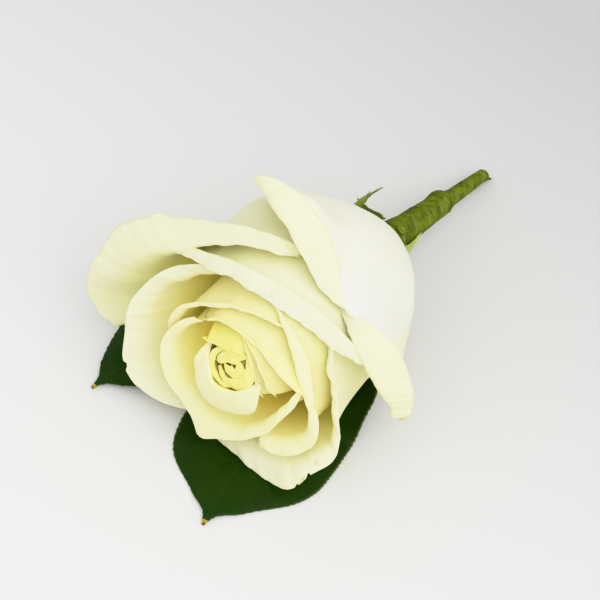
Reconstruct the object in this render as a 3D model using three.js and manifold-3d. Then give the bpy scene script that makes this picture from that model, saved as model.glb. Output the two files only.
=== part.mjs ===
// A boutonniere lying on a flat surface: one open rose with its short stem, a
// florist's wire, a wrap of floral tape and two broad leaves under the bloom.
// Millimetres, +Z up, origin on the surface below the middle of the object.
import * as THREE from "three";
import { mergeVertices } from "three/addons/utils/BufferGeometryUtils.js";
import Module from "manifold-3d";

const wasm = await Module();
wasm.setup();

// ---------------------------------------------------------------- dimensions

const GAP = 0.3; // clearance between neighbouring pieces
const SLIVER = 0.05; // detail below this size is smoothed out of a cut piece
const BLOOM_TILT = THREE.MathUtils.degToRad(17); // the rose's axis above the surface
const BLOOM_BASE = new THREE.Vector3(25.9, -8.1, 22.5); // where the petals are set
const STEM_END = new THREE.Vector3(74.2, -8.6, 1.85); // middle of the tape's cut end

const HIP_RADIUS = 4.4;
const HIP_HALF_LENGTH = 8;
const HIP_ROWS = 8;
const PETAL_THICKNESS = 0.4;
const HEART_THICKNESS = 0.3; // of the petals near the heart
const HEART_LEVEL = 8; // the first layer of those petals
const HEART_LEAN = { upward: -4.15, sideways: -1.98, height: 62.5 }; // of the heart's top off the axis
const OUTER_WIDTH = 26.2; // radius of the outermost layer's body
const LAYER_STEP = 0.9; // from one layer's body to the next
const FIRST_SEAT = 0.8; // height of the outermost petals' base on the hip
const SEAT_STEP = 0.42; // from one layer's base to the next
const BODY_HEIGHT = 42; // height at which a petal's body stands straight up
const BODY_FULLNESS = 2.4; // how early the bloom swells to its full width
const CLAW_FRACTION = 0.45; // a petal's width at its base, over its full width

const SEPAL_THICKNESS = 0.5;
const SEPAL_ROWS = 6;
const LEAF_THICKNESS = 0.5;
const PETIOLE_RADIUS = 0.55;
const PETIOLE_SIDES = 6;
const PETIOLE_STEPS = 14;
const LEAF_COLUMNS = 6;
const LEAF_ROWS = 10;

const STEM_RADIUS = 1.7;
const STEM_SIDES = 16; // of the hip too
const STEM_START = 8.6; // distance from the petals' base to the stem's top
const STEM_LENGTH = 17;
const WIRE_RADIUS = 0.3;
const WIRE_OFFSET = 2.3; // from the stem's axis to each leg of the hairpin
const WIRE_END_OFFSET = 0.55; // the same, past the end of the stem
const TAPE_END = 1.6; // thickness of the tape folded over the cut end
const TAPE_SIDES = 14;
const WIRE_TOP = 2.6; // depth of the hairpin's bend below the petals' base
const WIRE_PAST_STEM = 20; // how far its legs reach past the stem's end
const WIRE_SIDES = 6;
const WIRE_STEPS = 26;

// The tape along the stem: distance behind the petals' base, outside and inside radius.
const TAPE_PROFILE = [
  [4.9, 4.15, 3.78],
  [9.0, 3.95, 3.5],
  [14.0, 3.75, 3.3],
  [20.0, 3.4, 3.0],
  [26.0, 3.15, 2.8],
  [29.0, 2.95, 2.5],
  [32.0, 2.2, 1.3],
  [41.0, 2.05, 1.3],
  [50.6, 1.75, 1.3],
];

// Places where the outer layers swell or flatten: angle (degrees) and height with the
// width of each, then the change of radius.
const SWOLLEN_LEVELS = 4; // the innermost layer that follows them
const SWELLINGS = [
  { angle: 304, angleWidth: 26, height: 28, heightWidth: 15, amount: 5.0 },
  { angle: 52, angleWidth: 24, height: 30, heightWidth: 12, amount: -2.2 },
];

const COLUMN_ANGLE = 20; // degrees of petal between two columns of its surface
const SHORTEST_COLUMN = 0.35; // share of that angle that a column beside an edge still has
const BODY_ROWS = 5;
const FOLD_ROWS = 2;
const FOLD_START = BODY_ROWS / (BODY_ROWS + FOLD_ROWS);
const RISE_POWER = 1.4; // above 1: a petal's rows stand closer together near its base
const FLARE_POWER = 4; // how late the body bends from the shared shape to the petal's own fold
const SWELLING_POWER = 6; // how late a swelling fades out below the fold
const EAR_POWER = 7; // how late a narrowed half widens again below the fold

// Each petal from the heart outward. "level" counts the layers from the outermost one
// inward, and "ear" is how much narrower the far half is below its fold. A lip row is
// one place along the petal's upper edge: angle around the bloom (degrees), radius and
// height of the fold, then how far the free edge reaches outward and upward from it.
const PETALS = [
  { name: "petal_heart_1", level: 15, lip: [
    [5, 0.8, 61.2, 0.9, 0.3], [40, 0.7, 61.8, 1.6, 0.3], [80, 0.6, 62.1, 2.2, 0.3],
    [150, 0.6, 62.2, 2.6, 0.2], [225, 1, 62.1, 2.5, 0.2], [262, 2, 61.6, 1.2, 0.3]] },
  { name: "petal_heart_2", level: 14, lip: [
    [246, 4.4, 61.5, 1, 0.3], [266, 3.4, 62.2, 2, 0.2], [300, 1.9, 62.3, 3, 0.1],
    [340, 1.6, 62.3, 3.1, 0.1], [372, 2.5, 62, 2.2, 0.2], [392, 4.4, 61.1, 0.9, 0.3]] },
  { name: "petal_heart_3", level: 13, lip: [
    [16, 4.9, 61, 0.8, 0.3], [42, 3.7, 61.8, 1.8, 0.2], [75, 3.1, 62.1, 2.4, 0.2],
    [120, 3, 62.4, 2.8, 0.1], [165, 3.3, 62.5, 2.9, 0.1], [195, 4, 62.3, 1.8, 0.2],
    [225, 4.6, 61.5, 0.9, 0.3]] },
  { name: "petal_heart_4", level: 12, lip: [
    [180, 6, 61.9, 0.6, 0.3], [206, 6.4, 62.6, 0.9, 0.3], [234, 6.1, 62.7, 1.2, 0.4],
    [262, 5.8, 62.6, 1.5, 0.4], [287, 5.3, 62.3, 1.6, 0.4], [314, 4.6, 61.4, 0.8, 0.4]] },
  { name: "petal_heart_5", level: 11, lip: [
    [282, 9.8, 60.4, 0.5, 0.5], [291, 9.4, 62.2, 1.1, 0.8], [304, 7.3, 62.8, 0.8, 0.7],
    [331, 5.6, 63.2, 0.7, 0.8], [350, 5.6, 63.2, 0.7, 0.8], [370, 5.6, 62.8, 0.6, 0.7],
    [392, 5, 61, 0.4, 0.5]] },
  { name: "petal_inner_1", level: 10, lip: [
    [346, 8.4, 59.4, 0.5, 0.5], [366, 7.6, 61.6, 0.8, 0.7], [385, 6.3, 62.2, 0.8, 0.7],
    [405, 5.2, 62.1, 0.9, 0.6], [428, 4.7, 61.9, 0.9, 0.6], [452, 4.9, 61.6, 0.9, 0.5],
    [468, 5.7, 61.4, 0.9, 0.5], [481, 7.4, 61, 1, 0.5], [490, 9.2, 59.8, 0.8, 0.4]] },
  { name: "petal_inner_2", level: 9, lip: [
    [338, 9.4, 59.2, 0.6, 0.5], [360, 8.7, 61, 0.8, 0.6], [380, 7.7, 61.6, 0.9, 0.7],
    [406, 6.7, 61.6, 1, 0.6], [425, 6.5, 61.4, 1, 0.6], [440, 6.9, 61.2, 1, 0.6],
    [452, 7.7, 61, 1, 0.5], [462, 9, 60.8, 1, 0.5], [472, 11.2, 59.4, 0.8, 0.4]] },
  { name: "petal_inner_3", level: 8, lip: [
    [108, 5.8, 61, 1.4, 0], [122, 6, 62.2, 2.6, -0.6], [136, 6, 62.6, 4.2, -1.3],
    [148, 6.1, 62.8, 6.6, -1.8], [160, 6.3, 62.9, 8, -2], [176, 6.7, 63, 8.4, -1.8],
    [190, 7.2, 63, 9.4, -1.7], [204, 7.8, 63, 9.2, -1.5], [216, 8, 63, 7.6, -1.1],
    [230, 7.6, 62.9, 5.9, -0.5], [245, 7.4, 62.8, 4.9, -0.1], [258, 7.4, 62.6, 3.5, 0.3],
    [270, 7.7, 62.2, 2.2, 0.5], [284, 8.2, 61, 0.9, 0.5]] },
  { name: "petal_inner_4", level: 8, lip: [
    [284, 14.4, 56.8, 0.6, 0.5], [298, 12.4, 59.5, 0.9, 0.6], [318, 11.6, 60.4, 1.1, 0.7],
    [338, 10.2, 60.8, 1.2, 0.7], [362, 9, 60.9, 1.2, 0.7], [381, 8.6, 60.9, 1.2, 0.7],
    [401, 9, 60.8, 1.2, 0.6], [423, 10, 60.6, 1.3, 0.6], [438, 12.2, 60.2, 1.4, 0.6],
    [450, 15.2, 59, 1.4, 0.5], [457, 17, 57, 1.2, 0.4]] },
  { name: "petal_middle_1", level: 7, lip: [
    [103, 13.8, 57.6, 1.2, 0.8], [118, 14.4, 58.4, 1.8, 1], [136, 15.4, 58.4, 2.2, 1.2],
    [151, 17.4, 58, 2.8, 1.4], [165, 20.6, 57, 3.4, 2.2], [180, 24.6, 57, 4.2, 2.6],
    [194, 26.8, 57, 5.4, 3], [210, 26.4, 57, 4.2, 2.8], [224, 26.4, 57, 4.4, 2.8],
    [240, 24.4, 57, 4.4, 2.4], [256, 19.6, 58, 3.6, 1.6], [272, 14.8, 58.4, 2.4, 1]] },
  { name: "petal_middle_2", level: 6, lip: [
    [246, 24.2, 55.6, 2.4, 1.4], [256, 22.6, 57, 2.6, 1.5], [270, 20.2, 57.8, 2.2, 1.4],
    [284, 17, 58.4, 1.8, 1.2], [302, 13.6, 58.8, 1.6, 1], [330, 11.4, 59, 1.4, 0.9],
    [358, 11, 58.6, 1.1, 0.6], [382, 11.2, 57.4, 0.8, 0.4], [404, 12, 55.4, 0.6, 0.4],
    [420, 12.8, 53, 0.5, 0.4]] },
  { name: "petal_middle_3", level: 5, lip: [
    [8, 13.8, 56.4, 1.2, 0.3], [24, 12.6, 57.4, 1.2, 0], [40, 11.8, 57.8, 2, -0.4],
    [56, 11.4, 58, 2.6, -0.7], [74, 11.6, 58, 3.1, -0.8], [92, 12.8, 57.8, 3.2, -0.6],
    [108, 15.6, 57.4, 3.2, -0.2], [121, 20, 56.6, 3.8, 0.4], [132, 23, 55.8, 4.2, 1],
    [144, 24.4, 55.2, 4.6, 1.6], [156, 25.2, 55, 4.8, 2], [168, 24.6, 55.2, 4.4, 2]] },
  { name: "petal_left_1", level: 4, lip: [
    [206, 29, 52, 5, 4.4], [218, 34.6, 53, 6.5, 4.8], [230, 37.6, 53.6, 7.2, 4.4],
    [243, 35, 54, 5.8, 4], [256, 32, 53.8, 6, 3.6], [266, 29.6, 53.4, 5, 3],
    [280, 24.8, 52.6, 5.4, 3], [292, 21.8, 52, 4.4, 2.6], [304, 19, 51, 3.2, 2]] },
  { name: "petal_bottom_1", level: 4, lip: [
    [56, 17, 50.4, 1.4, 1], [68, 17.4, 52, 1.6, 1], [82, 17.2, 52.4, 1.6, 1],
    [96, 18.8, 52.4, 2.2, 0.9], [112, 22, 52, 2.6, 1], [124, 26, 51.6, 3.8, 1.4],
    [133, 29, 51.6, 4.6, 2], [144, 29.4, 52, 6, 4.2], [154, 31.2, 52.4, 7.6, 5.4],
    [165, 31.8, 52.4, 6.8, 4.6], [179, 31, 52, 6, 3.6], [192, 32, 51.4, 5.4, 3]] },
  { name: "petal_band_1", level: 3, lip: [
    [276, 36.4, 48.4, 1.2, 0.2], [284, 33, 51.2, 2.6, -0.4], [296, 27.2, 54.4, 3.2, -1.2],
    [311, 21.8, 56.4, 3.2, -1.9], [328, 18.8, 57.2, 3.1, -2.4], [345, 16.6, 57.4, 3.2, -2.6],
    [362, 15.4, 57, 3.4, -2.8], [382, 15.2, 56, 3.6, -2.9], [404, 16.4, 54.4, 3.8, -2.8],
    [424, 19.2, 52.4, 4.2, -2.2], [436, 23.2, 49.8, 4, -1.4]] },
  { name: "petal_outer_left", level: 2, lip: [
    [238, 44, 42, 10.4, 5], [247, 45, 43.6, 12.8, 5.4], [257, 39.4, 46.6, 15.4, 5.4],
    [267, 36, 49, 14.4, 4], [278, 33, 51, 14.4, 1.4], [285, 31, 52, 13.2, -0.4],
    [294, 28.8, 52.8, 9.6, -2.4], [312, 26.4, 53, 5.2, -3], [330, 25.2, 52.6, 3.6, -2.8],
    [348, 24, 50.6, 2.8, -2.2], [362, 23, 47.6, 2, -1.4]] },
  { name: "petal_right_1", level: 2, ear: 0.5, lip: [
    [38, 19.4, 43.4, 0.6, 0.4], [47, 20.2, 46.8, 1.6, -0.3], [58, 22, 48.4, 5.2, -2.4],
    [70, 24, 49, 7.8, -4], [82, 26, 48.2, 8, -4.6], [93, 28.8, 46.4, 7, -4.2],
    [101, 31.6, 44.6, 5.2, -2.8], [107, 33, 43.2, 2.8, -0.8]] },
  { name: "petal_under_1", level: 1, lip: [
    [144, 25, 23, 1.2, 0.8], [154, 26.2, 29, 1.8, 1.2], [166, 27.6, 34, 2.6, 1.6],
    [180, 28.2, 36, 2.8, 1.6], [194, 27.8, 34.4, 2.4, 1.4], [206, 26.6, 29, 1.6, 0.8]] },
  { name: "petal_under_2", level: 0, lip: [
    [192, 26.6, 32, 2, 1.2], [208, 28.8, 37, 3, 1.4], [226, 29.6, 36, 3, 1.2],
    [244, 28.4, 31, 2.4, 1], [262, 27, 27, 2, 0.8], [280, 25.8, 23, 1.4, 0.6]] },
  { name: "petal_top_right", level: 1, lip: [
    [322, 30, 32, 2, 1], [333, 35.4, 42.2, 3, 1], [343, 33.4, 46.2, 6, -2],
    [354, 29.6, 47.8, 7, -4.4], [366, 25.4, 48.4, 6.8, -5], [381, 21.8, 48.6, 5, -4.2],
    [394, 21.2, 48.2, 2.2, -1.4], [405, 22.2, 47.6, 0.8, -0.2], [415, 23.4, 46.8, 0.5, 0.2],
    [425, 24.4, 45, 0.5, 0.4], [436, 25, 41.5, 0.5, 0.4], [446, 25.2, 37, 0.7, 0.4],
    [454, 25.4, 31, 0.9, 0.4]] },
];

// Sepals: angle around the hip, half width, and the path of the midrib as radius
// and height, from the hip to the tip.
const SEPALS = [
  { name: "sepal_1", angle: -44, halfWidth: 2.0,
    path: [[5.0, -2.6], [7.6, -1.6], [10.4, -0.5], [12.2, -3.0], [13.2, -8.0]] },
  { name: "sepal_2", angle: 32, halfWidth: 1.7,
    path: [[4.9, -1.8], [5.7, -2.6], [5.9, -4.0], [5.7, -5.6]] },
  { name: "sepal_3", angle: 100, halfWidth: 2.0,
    path: [[4.9, -1.4], [6.6, -1.9], [6.6, -4.6], [5.7, -8.0], [5.2, -11.0]] },
  { name: "sepal_4", angle: 178, halfWidth: 2.1,
    path: [[4.9, -1.2], [7.6, 0.2], [10.4, 2.2], [13.0, 5.0]] },
  { name: "sepal_5", angle: 248, halfWidth: 2.1,
    path: [[4.9, -1.2], [7.8, 0.0], [10.8, 1.8], [13.6, 4.2]] },
];

// Leaves: the blade's midrib from its base to its tip, the half width along it, how
// far each side droops toward the surface, and the petiole from the blade into the tape.
const LEAVES = [
  {
    name: "leaf_right",
    midrib: [[17, -8.9, 6.2], [10, -9.1, 4.7], [-3, -9.1, 3.5], [-20, -8.9, 2.6],
      [-37, -9.2, 1.6], [-50, -10.9, 1.1], [-57.4, -11.9, 0.7]],
    halfWidths: [0.9, 6.4, 14.2, 18.6, 19.4, 19.9, 20.4, 20.0, 16.6, 7.6, 0.3],
    droop: [0.86, 0.86],
    curl: { height: [0, 10.5], place: 0.25, length: 0.24 },
    petiole: [[1, -9.1, 3.9], [10, -9.1, 4.7], [17, -8.9, 6.2], [24, -8.9, 10.6],
      [29.5, -9, 13.9], [34, -9, 14.5], [38, -9, 13.9], [44, -9, 11.5], [48, -9, 9.9]],
  },
  {
    name: "leaf_left",
    midrib: [[19, 3.0, 8.2], [13, 7.6, 6.6], [0, 15.8, 5.4], [-15, 24.0, 4.4],
      [-29, 30.6, 2.8], [-41.7, 34.9, 1.0]],
    halfWidths: [0.9, 4.8, 10.4, 14.8, 17.4, 18.2, 17.6, 15.2, 10.9, 5.4, 0.3],
    droop: [0.86, 0.1],
    curl: { height: [0, 0], place: 0.5, length: 0.24 },
    petiole: [[6, 12.2, 5.9], [13, 7.6, 6.6], [19, 3.0, 8.2], [25, -2.6, 12.0],
      [29.5, -5.9, 14.2], [34, -7.0, 14.6], [38, -7.0, 13.9], [44, -7.1, 11.5], [48, -7.2, 9.9]],
  },
];

const COLOURS = {
  petalHeart: 0xf0e39a,
  petalInner: 0xf4ecb8,
  petalOuter: 0xf8f6e4,
  leaf: 0x274a17,
  sepal: 0x7f9440,
  tape: 0x74873a,
  stem: 0x6f8a3c,
  wire: 0x3f6b3a,
};

// ------------------------------------------------------------------- helpers

const clamp01 = (value) => Math.min(Math.max(value, 0), 1);

function finish(colour, roughness, metalness = 0) {
  return new THREE.MeshStandardMaterial({ color: colour, roughness, metalness });
}

function named(name, geometry, material) {
  const mesh = new THREE.Mesh(geometry, material);
  mesh.name = name;
  return mesh;
}

// Catmull-Rom value of a table of rows at t from 0 to 1, all columns at once.
function rowAt(rows, t) {
  const place = clamp01(t) * (rows.length - 1);
  const index = Math.min(Math.floor(place), rows.length - 2);
  const f = place - index;
  return rows[index].map((b, column) => {
    const c = rows[index + 1][column];
    const a = index > 0 ? rows[index - 1][column] : 2 * b - c;
    const d = index + 2 < rows.length ? rows[index + 2][column] : 2 * c - b;
    const linear = (c - a) * f;
    const square = (2 * a - 5 * b + 4 * c - d) * f * f;
    const cube = (3 * b - a - 3 * c + d) * f * f * f;
    return 0.5 * (2 * b + linear + square + cube);
  });
}

function evenSteps(count) {
  return Array.from({ length: count + 1 }, (_, i) => i / count);
}

// A closed solid of even thickness around the surface pointAt(u, v), with one
// column of points for each value of u in places.
function sheetSolid(pointAt, places, rows, thickness) {
  const columns = places.length - 1;
  const grid = places.map((u) => evenSteps(rows).map((v) => pointAt(u, v)));
  const along = new THREE.Vector3();
  const across = new THREE.Vector3();
  const positions = [];
  for (const side of [0.5, -0.5]) {
    for (let i = 0; i <= columns; i++) {
      for (let j = 0; j <= rows; j++) {
        along.subVectors(grid[Math.min(i + 1, columns)][j], grid[Math.max(i - 1, 0)][j]);
        across.subVectors(grid[i][Math.min(j + 1, rows)], grid[i][Math.max(j - 1, 0)]);
        const normal = along.clone().cross(across).normalize();
        const point = grid[i][j].clone().addScaledVector(normal, side * thickness);
        positions.push(point.x, point.y, point.z);
      }
    }
  }
  const front = (i, j) => i * (rows + 1) + j;
  const back = (i, j) => (columns + 1) * (rows + 1) + front(i, j);
  const index = [];
  const quad = (a, b, c, d) => index.push(a, b, c, a, c, d);
  for (let i = 0; i < columns; i++) {
    for (let j = 0; j < rows; j++) {
      quad(front(i, j), front(i + 1, j), front(i + 1, j + 1), front(i, j + 1));
      quad(back(i, j), back(i, j + 1), back(i + 1, j + 1), back(i + 1, j));
    }
    quad(back(i, 0), back(i + 1, 0), front(i + 1, 0), front(i, 0));
    quad(front(i, rows), front(i + 1, rows), back(i + 1, rows), back(i, rows));
  }
  for (let j = 0; j < rows; j++) {
    quad(front(0, j), front(0, j + 1), back(0, j + 1), back(0, j));
    quad(back(columns, j), back(columns, j + 1), front(columns, j + 1), front(columns, j));
  }
  const geometry = new THREE.BufferGeometry();
  geometry.setAttribute("position", new THREE.Float32BufferAttribute(positions, 3));
  geometry.setIndex(index);
  return geometry;
}

function roundTube(points, radius, sides, steps) {
  const section = new THREE.Shape();
  for (let k = 0; k < sides; k++) {
    const angle = (2 * Math.PI * k) / sides;
    const place = [radius * Math.cos(angle), radius * Math.sin(angle)];
    if (k === 0) section.moveTo(...place);
    else section.lineTo(...place);
  }
  const path = new THREE.CatmullRomCurve3(points.map((p) => new THREE.Vector3(...p)));
  return new THREE.ExtrudeGeometry(section, { steps, extrudePath: path, bevelEnabled: false });
}

function lathe(profile, sides) {
  const outline = profile.map(([radius, height]) => new THREE.Vector2(radius, height));
  return new THREE.LatheGeometry(outline, sides).rotateX(Math.PI / 2);
}

function toSolid(geometry) {
  const bare = geometry.clone();
  bare.deleteAttribute("normal");
  bare.deleteAttribute("uv");
  const merged = mergeVertices(bare, 1e-4);
  return new wasm.Manifold(new wasm.Mesh({
    numProp: 3,
    vertProperties: new Float32Array(merged.attributes.position.array),
    triVerts: new Uint32Array(merged.index.array),
  }));
}

function toGeometry(solid) {
  const mesh = solid.getMesh();
  const geometry = new THREE.BufferGeometry();
  geometry.setAttribute("position", new THREE.BufferAttribute(mesh.vertProperties, 3));
  geometry.setIndex(new THREE.BufferAttribute(mesh.triVerts, 1));
  return geometry;
}

// The largest connected piece of a solid.
function mainPiece(solid) {
  const pieces = solid.decompose();
  return pieces.reduce((best, piece) => (piece.volume() > best.volume() ? piece : best));
}

// ------------------------------------------------------------------- petals

const hipRadiusAt = (height) =>
  HIP_RADIUS * Math.sqrt(Math.max(1 - (height / HIP_HALF_LENGTH) ** 2, 0));

function swellingAt(angle, height) {
  let change = 0;
  for (const place of SWELLINGS) {
    const apart = ((((angle - place.angle + 180) % 360) + 360) % 360) - 180;
    const across = (apart / place.angleWidth) ** 2;
    const along = ((height - place.height) / place.heightWidth) ** 2;
    change += place.amount * Math.exp(-across - along);
  }
  return change;
}

function petalPoint(petal, u, v) {
  const [angle, radius, height, out, up] = rowAt(petal.lip, u);
  const width = OUTER_WIDTH - LAYER_STEP * petal.level;
  const seat = FIRST_SEAT + SEAT_STEP * petal.level;
  const seatRadius = hipRadiusAt(seat) + GAP + PETAL_THICKNESS;
  const swell = (h) => 1 - clamp01(1 - (h - seat) / (BODY_HEIGHT - seat)) ** BODY_FULLNESS;
  const bodyRadius = (h) => seatRadius + (width - seatRadius) * swell(h);
  const flare = radius - bodyRadius(height);
  let r = radius;
  let h = height;
  if (v <= FOLD_START) {
    const rise = (v / FOLD_START) ** RISE_POWER;
    h = seat + (height - seat) * rise;
    r = bodyRadius(h) + flare * rise ** FLARE_POWER;
    if (petal.level <= SWOLLEN_LEVELS) r += swellingAt(angle, h) * (1 - rise ** SWELLING_POWER);
  } else {
    const f = (v - FOLD_START) / (1 - FOLD_START);
    const lean = Math.atan((FLARE_POWER * flare) / (height - seat));
    const reach = 0.5 * Math.hypot(out, up);
    const middle = 2 * f * (1 - f);
    r = radius + middle * reach * Math.sin(lean) + f * f * out;
    h = height + middle * reach * Math.cos(lean) + f * f * up;
  }
  const risen = clamp01((2 * (h - seat)) / (height - seat));
  const spread = CLAW_FRACTION + (1 - CLAW_FRACTION) * Math.sin((risen * Math.PI) / 2);
  const middleAngle = (petal.lip[0][0] + petal.lip[petal.lip.length - 1][0]) / 2;
  const ear = petal.ear && angle > middleAngle ? petal.ear : 0;
  const narrowing = 1 - ear * (1 - Math.min(v / FOLD_START, 1) ** EAR_POWER);
  const fromMiddle = (angle - middleAngle) * spread * narrowing;
  const turned = THREE.MathUtils.degToRad(middleAngle + fromMiddle);
  const share = petal.level < HEART_LEVEL ? 0 : clamp01(h / HEART_LEAN.height) ** 3;
  const upward = r * Math.cos(turned) + share * HEART_LEAN.upward;
  const sideways = r * Math.sin(turned) + share * HEART_LEAN.sideways;
  return new THREE.Vector3(upward, -sideways, h);
}

// Columns stand at the same angles in every petal, so that nested petals' facets match.
function petalColumns(lip) {
  const first = lip[0][0];
  const last = lip[lip.length - 1][0];
  const places = [0];
  const start = (Math.floor(first / COLUMN_ANGLE) + 1) * COLUMN_ANGLE;
  const margin = SHORTEST_COLUMN * COLUMN_ANGLE;
  for (let angle = start; angle < last - margin; angle += COLUMN_ANGLE) {
    if (angle < first + margin) continue;
    let low = 0;
    let high = 1;
    for (let halving = 0; halving < 20; halving++) {
      const half = (low + high) / 2;
      if (rowAt(lip, half)[0] < angle) low = half;
      else high = half;
    }
    places.push(low);
  }
  return [...places, 1];
}

function petalColour(name) {
  if (name.startsWith("petal_heart")) return COLOURS.petalHeart;
  const middle = name.startsWith("petal_inner") || name.startsWith("petal_middle");
  return middle ? COLOURS.petalInner : COLOURS.petalOuter;
}

// Petals are set from the heart outward; each gives way to those inside it.
function makePetals(group) {
  const rows = BODY_ROWS + FOLD_ROWS;
  const inside = [];
  for (const petal of PETALS) {
    const places = petalColumns(petal.lip);
    const thickness = petal.level < HEART_LEVEL ? PETAL_THICKNESS : HEART_THICKNESS;
    const at = (u, v) => petalPoint(petal, u, v);
    let solid = toSolid(sheetSolid(at, places, rows, thickness));
    for (const inner of inside) solid = solid.subtract(inner);
    solid = mainPiece(solid.simplify(SLIVER));
    const room = toSolid(sheetSolid(at, places, rows, thickness + 2 * GAP));
    inside.push(room.add(solid));
    group.add(named(petal.name, toGeometry(solid), finish(petalColour(petal.name), 0.55)));
  }
}

// --------------------------------------------------------- sepals and the hip

function makeSepals(group) {
  const places = evenSteps(2);
  for (const sepal of SEPALS) {
    const angle = THREE.MathUtils.degToRad(sepal.angle);
    const outward = new THREE.Vector3(Math.cos(angle), -Math.sin(angle), 0);
    const sideways = new THREE.Vector3(Math.sin(angle), Math.cos(angle), 0);
    const at = (u, v) => {
      const [radius, height] = rowAt(sepal.path, v);
      const taper = Math.sqrt(1 - v * 0.98) * (0.75 + 0.6 * v); // widest below the middle, nearly a point
      const place = outward.clone().multiplyScalar(radius);
      place.z = height;
      return place.addScaledVector(sideways, (1 - 2 * u) * sepal.halfWidth * taper);
    };
    const solid = sheetSolid(at, places, SEPAL_ROWS, SEPAL_THICKNESS);
    group.add(named(sepal.name, solid, finish(COLOURS.sepal, 0.6)));
  }
}

// Points of the hairpin from one leg's end over the bend to the other leg's end;
// x is across the stem, z is minus the distance behind the petals' base.
function hairpinPoints() {
  const stemEnd = STEM_START + STEM_LENGTH;
  const leg = [
    [WIRE_END_OFFSET, -(stemEnd + WIRE_PAST_STEM)],
    [WIRE_END_OFFSET, -(stemEnd + 9)],
    [WIRE_END_OFFSET + 0.1, -(stemEnd + 5)],
    [WIRE_OFFSET - 0.1, -(stemEnd + 0.6)],
    [WIRE_OFFSET, -(stemEnd - 3)],
    [WIRE_OFFSET, -(STEM_START + 5)],
    [WIRE_OFFSET, -(WIRE_TOP + 3)],
    [WIRE_OFFSET * 0.75, -(WIRE_TOP + 0.8)],
    [0, -WIRE_TOP],
  ];
  const back = leg.slice(0, -1).reverse().map(([x, z]) => [-x, z]);
  return [...leg, ...back].map(([x, z]) => [0, x, z]);
}

function makeHip(group) {
  const profile = [];
  for (let k = 0; k <= HIP_ROWS; k++) {
    const angle = -Math.PI / 2 + (Math.PI * k) / HIP_ROWS;
    const onAxis = k === 0 || k === HIP_ROWS;
    profile.push([onAxis ? 0 : HIP_RADIUS * Math.cos(angle), HIP_HALF_LENGTH * Math.sin(angle)]);
  }
  const bore = toSolid(roundTube(hairpinPoints(), WIRE_RADIUS + GAP, WIRE_SIDES, WIRE_STEPS));
  const hip = toSolid(lathe(profile, STEM_SIDES)).subtract(bore);
  group.add(named("rose_hip", toGeometry(hip), finish(COLOURS.sepal, 0.5)));
}

// -------------------------------------------------- stem, wire, leaves, tape

function makeStem(group) {
  const stem = new THREE.CylinderGeometry(STEM_RADIUS, STEM_RADIUS, STEM_LENGTH, STEM_SIDES);
  stem.rotateX(Math.PI / 2);
  const mesh = named("rose_stem", toGeometry(toSolid(stem)), finish(COLOURS.stem, 0.55));
  mesh.position.z = -(STEM_START + STEM_LENGTH / 2);
  group.add(mesh);
}

function makeWire(group) {
  const wire = toSolid(roundTube(hairpinPoints(), WIRE_RADIUS, WIRE_SIDES, WIRE_STEPS));
  group.add(named("florist_wire", toGeometry(wire), finish(COLOURS.wire, 0.4, 0.6)));
}

function leafSolid(leaf) {
  const path = new THREE.CatmullRomCurve3(leaf.midrib.map((p) => new THREE.Vector3(...p)));
  const up = new THREE.Vector3(0, 0, 1);
  const widths = leaf.halfWidths.map((w) => [w]);
  const at = (u, v) => {
    const middle = path.getPointAt(v);
    const heading = path.getTangentAt(v);
    const side = heading.cross(up).normalize().negate();
    const across = 2 * u - 1;
    const [halfWidth] = rowAt(widths, v);
    const edge = across < 0 ? 0 : 1;
    const sag = 1 - leaf.droop[edge] * across * across;
    const fromCurl = (v - leaf.curl.place) / leaf.curl.length;
    const curled = Math.max(0, 1 - fromCurl * fromCurl) ** 2;
    const curl = leaf.curl.height[edge] * Math.abs(across) ** 3 * curled;
    const place = middle.clone().addScaledVector(side, across * halfWidth);
    place.z = middle.z * sag + LEAF_THICKNESS / 2 + curl;
    return place;
  };
  const blade = toSolid(sheetSolid(at, evenSteps(LEAF_COLUMNS), LEAF_ROWS, LEAF_THICKNESS));
  const petiole = toSolid(roundTube(leaf.petiole, PETIOLE_RADIUS, PETIOLE_SIDES, PETIOLE_STEPS));
  return blade.add(petiole).simplify(SLIVER);
}

function makeLeaves(group) {
  for (const leaf of LEAVES) {
    const solid = leafSolid(leaf);
    group.add(named(leaf.name, toGeometry(mainPiece(solid)), finish(COLOURS.leaf, 0.35)));
  }
}

// The tape is a sleeve, closed at its cut end and pressed around the petioles.
function makeTape(group) {
  const wall = TAPE_PROFILE.map(([distance, outer]) => [outer, -distance]).reverse();
  const bore = TAPE_PROFILE.map(([distance, , inner]) => [inner, -distance]);
  const [tipDistance] = TAPE_PROFILE[TAPE_PROFILE.length - 1];
  const outline = [[0, -(tipDistance + TAPE_END)], ...wall, ...bore, [0, -tipDistance]];
  let tape = toSolid(lathe(outline, TAPE_SIDES));
  const toStem = group.matrixWorld.clone().invert();
  for (const leaf of LEAVES) {
    const petiole = roundTube(leaf.petiole, PETIOLE_RADIUS + GAP, PETIOLE_SIDES, PETIOLE_STEPS);
    tape = tape.subtract(toSolid(petiole.applyMatrix4(toStem)));
  }
  tape = mainPiece(tape);
  group.add(named("floral_tape", toGeometry(tape), finish(COLOURS.tape, 0.8)));
}

// ------------------------------------------------------------------- object

const boutonniere = new THREE.Group();
boutonniere.name = "boutonniere";

const bloom = new THREE.Group();
bloom.position.copy(BLOOM_BASE);
bloom.rotation.y = BLOOM_TILT - Math.PI / 2;
boutonniere.add(bloom);

const stemGroup = new THREE.Group();
stemGroup.position.copy(BLOOM_BASE);
const stemAxis = BLOOM_BASE.clone().sub(STEM_END).normalize();
stemGroup.quaternion.setFromUnitVectors(new THREE.Vector3(0, 0, 1), stemAxis);
boutonniere.add(stemGroup);
boutonniere.updateMatrixWorld(true);

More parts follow.
